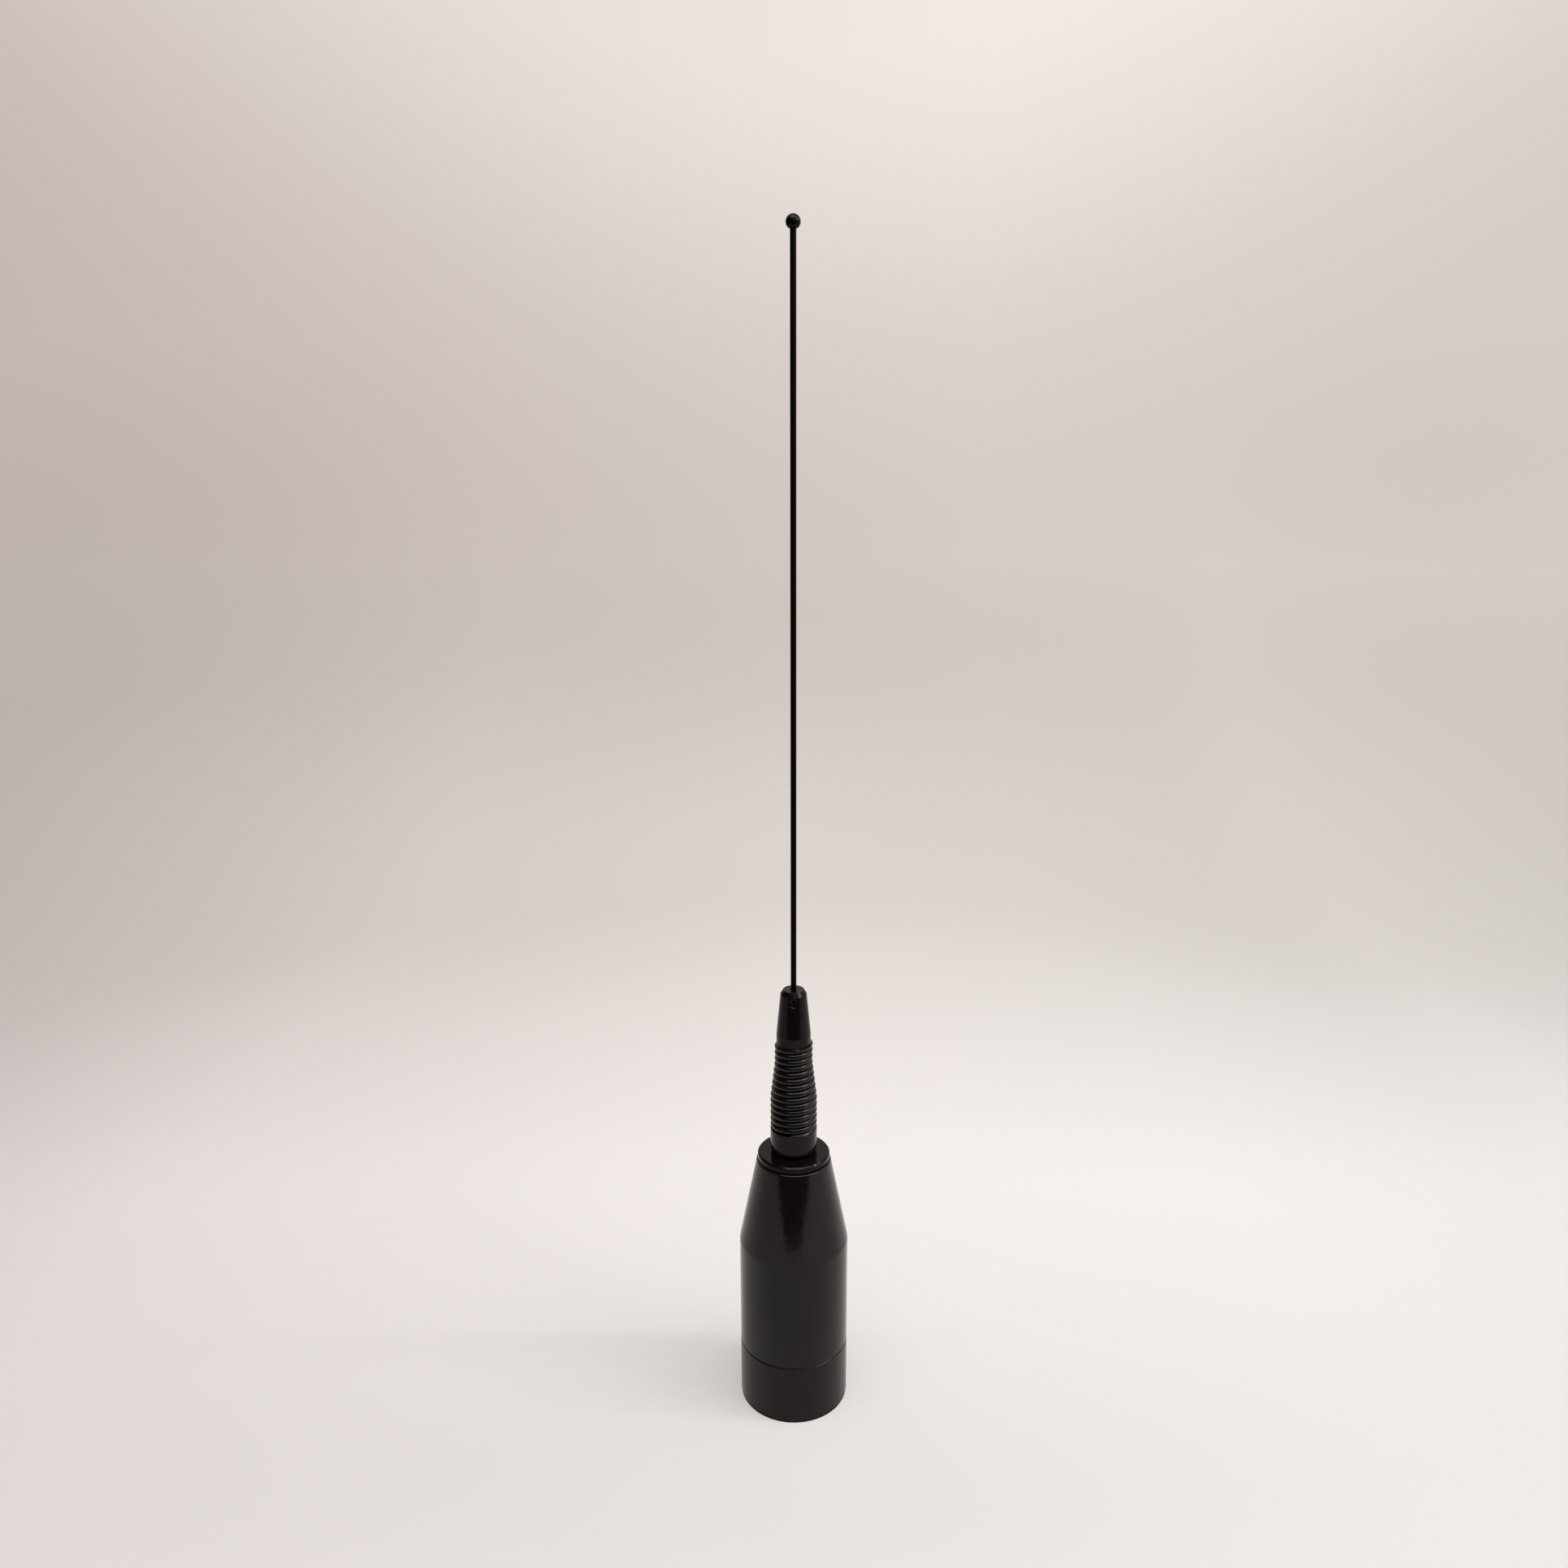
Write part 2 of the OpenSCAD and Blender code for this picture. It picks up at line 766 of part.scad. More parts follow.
module top_seal() {
  color(rubber_black)
    rotate_extrude()
      translate([stud_hole_r, cone_z1])
        square([disc_r - seal_back - stud_hole_r, seal_h]);
}

module top_disc() {
  color(gloss_black)
    rotate_extrude()
      polygon([
        [stud_hole_r, seal_z1],
        [disc_r, seal_z1],
        [disc_r, disc_z1 - disc_edge],
        [disc_r - disc_edge, disc_z1],
        [stud_hole_r, disc_z1]
      ]);
}

module spring_adapter() {
  top_edge = 0.2;
  color(satin_black)
    rotate_extrude()
      polygon([
        [stud_r + fit_gap, disc_z1],
        [adapter_r - adapter_slope, disc_z1],
        [adapter_r, disc_z1 + adapter_slope],
        [adapter_r, adapter_z1 - top_edge],
        [adapter_r - top_edge, adapter_z1],
        [adapter_spigot_r, adapter_z1],
        [adapter_spigot_r, adapter_spigot_z1],
        [braid_d / 2 + rest_gap, adapter_spigot_z1],
        [braid_d / 2 + rest_gap, adapter_spigot_z1 - braid_socket],
        [0, adapter_spigot_z1 - braid_socket],
        [0, disc_z1 + stud_engage + rest_gap],
        [stud_r + fit_gap, disc_z1 + stud_engage + rest_gap]
      ]);
}

// Close winding cut level at both ends, as a ground spring is
module shock_spring() {
  color(satin_black)
    intersection() {
      ring_tube(spring_ring_list());
      translate([-spring_low_d, -spring_low_d, spring_z0])
        cube([2 * spring_low_d, 2 * spring_low_d, spring_h]);
    }
}

module shunt_braid() {
  low = adapter_spigot_z1 - braid_socket + rest_gap;
  high = ferrule_spigot_z0 + braid_socket - rest_gap;
  color(copper)
    translate([0, 0, low])
      cylinder(d = braid_d, h = high - low);
}

module whip_ferrule() {
  socket_r = braid_d / 2 + rest_gap;
  color(gloss_black)
    difference() {
      rotate_extrude()
        polygon([
          [socket_r, ferrule_spigot_z0],
          [ferrule_spigot_r, ferrule_spigot_z0],
          [ferrule_spigot_r, ferrule_z0],
          [ferrule_d / 2, ferrule_z0],
          [ferrule_d / 2, ferrule_z1],
          [ferrule_top_d / 2, ferrule_z2],
          [ferrule_flat_d / 2, ferrule_z3],
          [whip_bore_r, ferrule_z3],
          [whip_bore_r, bore_z0],
          [0, bore_z0],
          [0, ferrule_spigot_z0 + braid_socket],
          [socket_r, ferrule_spigot_z0 + braid_socket]
        ]);
      translate([0, 0, set_screw_z])
        rotate([90, 0, 0])
          cylinder(r = set_screw_r + fit_gap, h = ferrule_d);
    }
}

module ferrule_set_screw() {
  tip_y = whip_r + slide_gap;
  face_y = ferrule_r_at(set_screw_z) - set_screw_sink;
  socket_r = set_screw_af / 2 / cos(30);
  color(steel)
    translate([0, 0, set_screw_z])
      rotate([90, 0, 0])
        difference() {
          translate([0, 0, tip_y])
            cylinder(r = set_screw_r, h = face_y - tip_y);
          translate([0, 0, (tip_y + face_y) / 2])
            cylinder(r = socket_r, h = face_y, $fn = 6);
        }
}

module whip() {
  end_edge = whip_r / 3;
  color(satin_black)
    rotate_extrude()
      polygon([
        [0, whip_z0],
        [whip_r - end_edge, whip_z0],
        [whip_r, whip_z0 + end_edge],
        [whip_r, whip_z1],
        [0, whip_z1]
      ]);
}

module tip_ball() {
  color(gloss_black)
    translate([0, 0, whip_z1])
      difference() {
        sphere(ball_r);
        translate([0, 0, -ball_flat - ball_d])
          cylinder(r = ball_d, h = ball_d);
        translate([0, 0, -ball_d])
          cylinder(r = whip_r + fit_gap, h = ball_d + fit_gap);
      }
}

echo(str("shock spring, least gap between turns: ", turn_gap(spring_ring_list(), spring_rings), " mm"));
echo(str("contact spring, least gap between turns: ", turn_gap(contact_ring_list(), contact_rings), " mm"));

base_gasket();
base_ring();
thread_insert();
contact_insulator();
insulator_screws();
ground_lug();
contact_barrel();
contact_plunger();
contact_spring();
barrel_cap();
housing_seal();
housing_shell();
coil_former();
loading_coil();
feed_lead();
stud_lug();
stud_lock_washer();
stud_nut();
top_stud();
top_seal();
top_disc();
spring_adapter();
shock_spring();
shunt_braid();
whip_ferrule();
ferrule_set_screw();
whip();
tip_ball();
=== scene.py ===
"""Looks of a vehicle whip antenna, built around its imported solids.

Lengths in the classes are millimetres, measured from the centre of the gasket's underside with +Z up.
Each mesh is turned into metres when it is made, so every piece lies where the solids lie.
"""

import logging
import math
from collections.abc import Iterable, Sequence
from dataclasses import dataclass, field
from enum import Enum

import bpy
from mathutils import Matrix, Vector

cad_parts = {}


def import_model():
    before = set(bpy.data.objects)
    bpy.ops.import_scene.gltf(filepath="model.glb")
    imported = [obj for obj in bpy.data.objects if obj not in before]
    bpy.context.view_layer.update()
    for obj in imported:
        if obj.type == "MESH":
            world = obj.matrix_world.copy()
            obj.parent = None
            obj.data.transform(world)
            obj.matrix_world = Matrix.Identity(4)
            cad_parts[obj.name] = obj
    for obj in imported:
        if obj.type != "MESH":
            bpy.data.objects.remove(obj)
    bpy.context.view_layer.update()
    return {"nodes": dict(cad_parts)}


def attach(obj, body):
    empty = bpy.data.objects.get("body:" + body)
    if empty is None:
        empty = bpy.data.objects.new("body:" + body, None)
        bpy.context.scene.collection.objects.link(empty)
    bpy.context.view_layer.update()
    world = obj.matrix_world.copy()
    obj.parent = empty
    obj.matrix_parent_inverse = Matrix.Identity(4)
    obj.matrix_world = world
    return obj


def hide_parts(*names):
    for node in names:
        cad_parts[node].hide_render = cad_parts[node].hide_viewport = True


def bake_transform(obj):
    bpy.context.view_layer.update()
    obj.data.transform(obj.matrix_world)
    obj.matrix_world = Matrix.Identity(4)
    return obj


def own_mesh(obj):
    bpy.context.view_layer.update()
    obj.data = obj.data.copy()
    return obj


LOG = logging.getLogger("whip_antenna")
MM = 0.001
TAU = 2 * math.pi
TINY = 1e-6

Colour = tuple[float, float, float]
Corner = tuple[float, float, float]
Point = tuple[float, float, float]
Pair = tuple[float, float]


class Body(str, Enum):
    """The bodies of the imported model."""

    BASE = "base"
    SPRING = "spring"
    FERRULE = "ferrule"
    WHIP = "whip"
    CONTACT = "contact"


class Grain(Enum):
    """How a surface is marked by the way it was made."""

    PEEL = "peel"
    TURNED = "turned"
    FINE = "fine"


@dataclass(frozen=True)
class Finish:
    """One finish: two close tones, two close roughnesses, and the marks of its making.

    Attributes:
        label: Name of the material.
        slot: The record's material slot; it is not used.
        tone: Darker tone of the surface, linear.
        tone_high: Lighter tone of the surface, linear.
        rough: Lowest and highest roughness.
        patches: Patches of tone in each metre.
        metallic: 1 for bare metal.
        shine: Specular level of the shader.
        grain: Kind of surface marks.
        marks: Marks in each metre.
        depth: Strength of the marks' bump.
        dust: Share of the tiny pale specks that shows.
    """

    label: str
    slot: str
    tone: Colour
    tone_high: Colour
    rough: Pair
    patches: float = 120.0
    metallic: float = 0.0
    shine: float = 0.5
    grain: Grain = Grain.PEEL
    marks: float = 900.0
    depth: float = 0.05
    dust: float = 0.0


class Finishes(Enum):
    """The finishes on this antenna."""

    HOUSING = Finish(
        "housing_gloss_black", "black_housing", (0.0058, 0.0031, 0.0041), (0.0077, 0.0044, 0.0054),
        (0.08, 0.12), 70.0, 0.0, 0.23, Grain.PEEL, 420.0, 0.14, 0.03,
    )
    RING = Finish(
        "ring_satin_black", "black_housing", (0.0074, 0.0040, 0.0048), (0.0096, 0.0053, 0.0061),
        (0.22, 0.28), 90.0, 0.0, 0.185, Grain.FINE, 2600.0, 0.03, 0.03,
    )
    PLATED = Finish(
        "plated_gloss_black", "black_plated_metal", (0.0070, 0.0034, 0.0034), (0.0090, 0.0048, 0.0046),
        (0.09, 0.14), 160.0, 0.0, 0.155, Grain.TURNED, 2400.0, 0.035, 0.02,
    )
    # The same black plating as PLATED, with a darker tone and less shine: painted shade on the top disc.
    DISC = Finish(
        "disc_gloss_black_painted_shade", "black_plated_metal", (0.0031, 0.0020, 0.0021), (0.0042, 0.0029, 0.0029),
        (0.09, 0.14), 160.0, 0.0, 0.115, Grain.TURNED, 2400.0, 0.035, 0.02,
    )
    # The same black plating as PLATED, with a darker tone and less shine: painted shade on the tip ball.
    BALL = Finish(
        "ball_gloss_black_painted_shade", "black_plated_metal", (0.0018, 0.0010, 0.0010), (0.0026, 0.0016, 0.0015),
        (0.06, 0.09), 300.0, 0.0, 0.10, Grain.TURNED, 2400.0, 0.02, 0.01,
    )
    FERRULE = Finish(
        "ferrule_black", "black_plated_metal", (0.0042, 0.0021, 0.0025), (0.0058, 0.0032, 0.0036),
        (0.12, 0.17), 160.0, 0.0, 0.14, Grain.TURNED, 2400.0, 0.05, 0.02,
    )
    SPRING = Finish(
        "spring_coat_black", "black_spring_steel", (0.0040, 0.0021, 0.0024), (0.0056, 0.0032, 0.0036),
        (0.15, 0.22), 260.0, 0.0, 0.26, Grain.FINE, 3200.0, 0.05, 0.02,
    )
    WHIP = Finish(
        "whip_coat_black", "black_spring_steel", (0.0022, 0.0012, 0.0010), (0.0032, 0.0020, 0.0018),
        (0.32, 0.42), 220.0, 0.0, 0.03, Grain.FINE, 3600.0, 0.06, 0.01,
    )
    OXIDE = Finish(
        "set_screw_oxide", "black_oxide_steel", (0.0034, 0.0028, 0.0028), (0.0062, 0.0054, 0.0054),
        (0.30, 0.42), 500.0, 0.0, 0.25, Grain.FINE, 5200.0, 0.08,
    )
    RUBBER = Finish(
        "gasket_rubber", "black_rubber", (0.0050, 0.0048, 0.0048), (0.0090, 0.0086, 0.0086),
        (0.72, 0.86), 300.0, 0.0, 0.25, Grain.FINE, 4200.0, 0.16, 0.12,
    )
    BRASS = Finish(
        "turned_brass", "brass", (0.58, 0.38, 0.125), (0.70, 0.50, 0.19),
        (0.22, 0.34), 160.0, 1.0, 0.5, Grain.TURNED, 3000.0, 0.12,
    )
    TINNED = Finish(
        "tinned_brass", "tinned_brass", (0.52, 0.51, 0.48), (0.66, 0.65, 0.62),
        (0.30, 0.44), 420.0, 1.0, 0.5, Grain.FINE, 2600.0, 0.08,
    )
    COPPER = Finish(
        "copper_wire", "copper", (0.56, 0.23, 0.095), (0.72, 0.34, 0.17),
        (0.24, 0.36), 260.0, 1.0, 0.5, Grain.FINE, 2600.0, 0.06,
    )
    STEEL = Finish(
        "bright_zinc_steel", "bright_steel", (0.50, 0.50, 0.51), (0.64, 0.64, 0.66),
        (0.24, 0.36), 420.0, 1.0, 0.5, Grain.FINE, 3000.0, 0.08,
    )
    INSULATOR = Finish(
        "moulded_insulator", "white_insulator", (0.60, 0.575, 0.50), (0.68, 0.655, 0.585),
        (0.38, 0.50), 140.0, 0.0, 0.4, Grain.FINE, 2200.0, 0.07,
    )
    FORMER = Finish(
        "phenolic_tube", "brown_former", (0.115, 0.052, 0.019), (0.185, 0.088, 0.034),
        (0.42, 0.58), 240.0, 0.0, 0.4, Grain.FINE, 1800.0, 0.10,
    )


class Graph:
    """Short calls for one node tree."""

    def __init__(self, tree: bpy.types.NodeTree) -> None:
        """Starts an empty tree.

        Args:
            tree: The node tree, whose nodes are removed.
        """
        self.tree = tree
        tree.nodes.clear()

    def add(self, kind: str, operation: str | None = None, **sockets: object) -> bpy.types.Node:
        """Adds a node.

        Args:
            kind: Type of the node, without its ShaderNode prefix.
            operation: Its operation, where it has one.
            **sockets: Values or output sockets for its inputs, by name with _ for a space.

        Returns:
            The new node.
        """
        node = self.tree.nodes.new("ShaderNode" + kind)
        if operation:
            node.operation = operation
        for name, value in sockets.items():
            self.feed(node, name.replace("_", " "), value)
        return node

    def feed(self, node: bpy.types.Node, name: str | int, value: object) -> None:
        """Sets an input to a value, or links an output socket to it.

        Args:
            node: The node that takes the value.
            name: Name or number of its input.
            value: A number, a colour, or another node's output.
        """
        socket = node.inputs[name]
        if isinstance(value, bpy.types.NodeSocket):
            self.tree.links.new(value, socket)
        elif hasattr(value, "__len__") and len(value) == 3 and len(socket.default_value) == 4:
            socket.default_value = (*value, 1.0)
        else:
            socket.default_value = value

    def math(self, operation: str, *values: object) -> bpy.types.NodeSocket:
        """Adds a Math node.

        Args:
            operation: What it computes.
            *values: Numbers or output sockets, in order.

        Returns:
            Its output.
        """
        node = self.add("Math", operation)
        for i, value in enumerate(values):
            self.feed(node, i, value)
        return node.outputs[0]

    def mix(self, factor: object, low: object, high: object) -> bpy.types.NodeSocket:
        """Mixes two colours.

        Args:
            factor: 0 for the first colour, 1 for the second.
            low: The first colour.
            high: The second colour.

        Returns:
            The mixed colour.
        """
        node = self.add("Mix")
        node.data_type = "RGBA"
        for number, value in ((0, factor), (6, low), (7, high)):
            self.feed(node, number, value)
        return node.outputs[2]

    def ramp(
        self, value: object, start: float, end: float, low: object = 0.0, high: object = 1.0,
    ) -> bpy.types.NodeSocket:
        """Maps a stretch of values to another one, held at both ends.

        Args:
            value: The value.
            start: Where its stretch starts.
            end: Where its stretch ends.
            low: Result at the start.
            high: Result at the end.

        Returns:
            The result.
        """
        node = self.add("MapRange", Value=value, From_Min=start, From_Max=end, To_Min=low, To_Max=high)
        return node.outputs[0]


class FinishShop:
    """Makes each finish's material once, with shared node groups for its effects.

    Attributes:
        FINE_RATIO: Fine patches for each broad one.
        BROAD_SHARE: Share of the broad patches in the tone.
        SPREAD: Values of the mixed noise that give the darker and the lighter tone.
        SPECKS: Places for a speck in each metre.
        SPECK_EDGE: Where a speck starts to fade and where it ends.
        SPECK_RARE: Share of the places without a speck.
        SPECK_TONE: Tone of the specks.
        BUMP_REACH: Height of the marks.
    """

    FINE_RATIO = 7.3
    BROAD_SHARE = 0.65
    SPREAD = (0.34, 0.66)
    SPECKS = 1100.0
    SPECK_EDGE = (0.05, 0.12)
    SPECK_RARE = 0.86
    SPECK_TONE = (0.16, 0.15, 0.14)
    BUMP_REACH = 0.1 * MM

    def __init__(self) -> None:
        """Builds the shared effects."""
        self._made: dict[str, bpy.types.Material] = {}
        self._patches = self._patch_group()
        self._specks = self._speck_group()
        self._marks = {
            Grain.PEEL: self._mark_group("paint_peel", 1.0, 0.4),
            Grain.TURNED: self._mark_group("turning_marks", 3.0, 0.6, rings=True),
            Grain.FINE: self._mark_group("fine_grain", 4.0, 0.65),
        }

    @staticmethod
    def _group(
        label: str, given: dict[str, str], made: dict[str, str],
    ) -> tuple[Graph, bpy.types.bpy_prop_collection, bpy.types.Node]:
        """Starts a node group.

        Args:
            label: Its name.
            given: Kind of each input, by name.
            made: Kind of each output, by name.

        Returns:
            Its graph, the inputs to read from, and the node that takes the outputs.
        """
        tree = bpy.data.node_groups.new(label, "ShaderNodeTree")
        for side, kinds in (("INPUT", given), ("OUTPUT", made)):
            for name, kind in kinds.items():
                tree.interface.new_socket(name, in_out=side, socket_type="NodeSocket" + kind)
        graph = Graph(tree)
        return graph, tree.nodes.new("NodeGroupInput").outputs, tree.nodes.new("NodeGroupOutput")

    def _patch_group(self) -> bpy.types.NodeTree:
        """Makes uneven tone and roughness, in broad patches with a little fine variation.

        Returns:
            The node group.
        """
        graph, given, out = self._group(
            "tone_patches",
            {"Tone": "Color", "Tone High": "Color", "Smooth": "Float", "Rough": "Float", "Patches": "Float"},
            {"Color": "Color", "Roughness": "Float"},
        )
        place = graph.add("TexCoord").outputs["Object"]
        broad = graph.add("TexNoise", Vector=place, Scale=given["Patches"], Detail=3.0, Roughness=0.55)
        fine_scale = graph.math("MULTIPLY", given["Patches"], self.FINE_RATIO)
        fine = graph.add("TexNoise", Vector=place, Scale=fine_scale, Detail=2.0, Roughness=0.5)
        broad_part = graph.math("MULTIPLY", broad.outputs["Fac"], self.BROAD_SHARE)
        share = graph.math("MULTIPLY_ADD", fine.outputs["Fac"], 1 - self.BROAD_SHARE, broad_part)
        spread = graph.ramp(share, *self.SPREAD)
        graph.feed(out, "Color", graph.mix(spread, given["Tone"], given["Tone High"]))
        graph.feed(out, "Roughness", graph.ramp(spread, 0.0, 1.0, given["Smooth"], given["Rough"]))
        return graph.tree

    def _speck_group(self) -> bpy.types.NodeTree:
        """Makes tiny scattered specks of dust.

        Returns:
            The node group.
        """
        graph, given, out = self._group(
            "dust_specks", {"Color": "Color", "Amount": "Float"}, {"Color": "Color"},
        )
        place = graph.add("TexCoord").outputs["Object"]
        cells = graph.add("TexVoronoi", Vector=place, Scale=self.SPECKS, Randomness=1.0)
        speck = graph.ramp(cells.outputs["Distance"], *self.SPECK_EDGE, 1.0, 0.0)
        chance = graph.add("SeparateColor", Color=cells.outputs["Color"]).outputs[0]
        rare = graph.math("GREATER_THAN", chance, self.SPECK_RARE)
        mask = graph.math("MULTIPLY", graph.math("MULTIPLY", speck, rare), given["Amount"])
        graph.feed(out, "Color", graph.mix(mask, given["Color"], self.SPECK_TONE))
        return graph.tree

    def _mark_group(self, label: str, detail: float, rough: float, rings: bool = False) -> bpy.types.NodeTree:
        """Makes the height of a surface's small marks.

        Args:
            label: Name of the group.
            detail: Detail of its noise.
            rough: Roughness of its noise.
            rings: Whether the marks run round the axis, as a lathe leaves them.

        Returns:
            The node group.
        """
        graph, given, out = self._group(label, {"Marks": "Float"}, {"Height": "Float"})
        place = graph.add("TexCoord").outputs["Object"]
        if rings:
            parts = graph.add("SeparateXYZ", Vector=place).outputs
            flat = graph.add("CombineXYZ", X=parts["X"], Y=parts["Y"])
            away = graph.add("VectorMath", "LENGTH", Vector=flat.outputs[0]).outputs["Value"]
            place = graph.add("CombineXYZ", X=away, Z=parts["Z"]).outputs[0]
        noise = graph.add("TexNoise", Vector=place, Scale=given["Marks"], Detail=detail, Roughness=rough)
        graph.feed(out, "Height", noise.outputs["Fac"])
        return graph.tree

    @staticmethod
    def _use(graph: Graph, tree: bpy.types.NodeTree, **sockets: object) -> bpy.types.Node:
        """Places a group in a material.

        Args:
            graph: The material's graph.
            tree: The group.
            **sockets: Its inputs, by name with _ for a space.

        Returns:
            The group's node.
        """
        node = graph.add("Group")
        node.node_tree = tree
        for name, value in sockets.items():
            graph.feed(node, name.replace("_", " "), value)
        return node

    def material(self, finish: Finish) -> bpy.types.Material:
        """Gives a finish's material, made at its first use.

        Args:
            finish: The finish.

        Returns:
            The material.
        """
        if finish.label in self._made:
            return self._made[finish.label]
        made = bpy.data.materials.new(finish.label)
        made.use_nodes = True
        graph = Graph(made.node_tree)
        patches = self._use(
            graph, self._patches, Tone=finish.tone, Tone_High=finish.tone_high,
            Smooth=finish.rough[0], Rough=finish.rough[1], Patches=finish.patches,
        )
        colour = patches.outputs["Color"]
        if finish.dust:
            colour = self._use(graph, self._specks, Color=colour, Amount=finish.dust).outputs["Color"]
        marks = self._use(graph, self._marks[finish.grain], Marks=finish.marks)
        bump = graph.add(
            "Bump", Height=marks.outputs["Height"], Strength=finish.depth, Distance=self.BUMP_REACH,
        )
        shader = graph.add(
            "BsdfPrincipled", Base_Color=colour, Roughness=patches.outputs["Roughness"],
            Normal=bump.outputs["Normal"], Metallic=finish.metallic, Specular_IOR_Level=finish.shine,
        )
        graph.add("OutputMaterial", Surface=shader.outputs[0])
        self._made[finish.label] = made
        return made


def held(value: float, low: float = 0.0, high: float = 1.0) -> float:
    """Holds a value between two limits."""
    return min(high, max(low, value))


@dataclass(frozen=True)
class Thread:
    """Screw ridges on the straight wall of a turned piece.

    Attributes:
        wall: Radius of the wall that carries them.
        low: Height where the wall starts.
        high: Height where it ends.
        pitch: Rise of one turn.
        rise: How far a ridge stands from the wall; below 0 towards the axis.
        ramp: Height over which the ridges start and fade.
        rows: Rows of points on one turn.
        flat: Share of half a turn that is flat at the ridges' root, and at their crest.
    """

    wall: float
    low: float
    high: float
    pitch: float
    rise: float
    ramp: float
    rows: int = 10
    flat: float = 0.14

    def on(self, a: Vector, b: Vector) -> bool:
        """Whether a stretch of profile is the threaded wall."""
        inside = all(self.low - TINY <= p.y <= self.high + TINY for p in (a, b))
        return inside and all(abs(p.x - self.wall) < 100 * TINY for p in (a, b))

    def at(self, z: float, angle: float) -> float:
        """Height of the ridge over the wall.

        Args:
            z: Height on the wall.
            angle: Angle round the axis.

        Returns:
            The ridge's rise there.
        """
        phase = (z / self.pitch - angle / TAU) % 1.0
        tooth = held((1.0 - abs(2.0 * phase - 1.0) - self.flat) / (1.0 - 2.0 * self.flat))
        fade = held(min(z - self.low, self.high - z) / self.ramp)
        return self.rise * tooth * fade


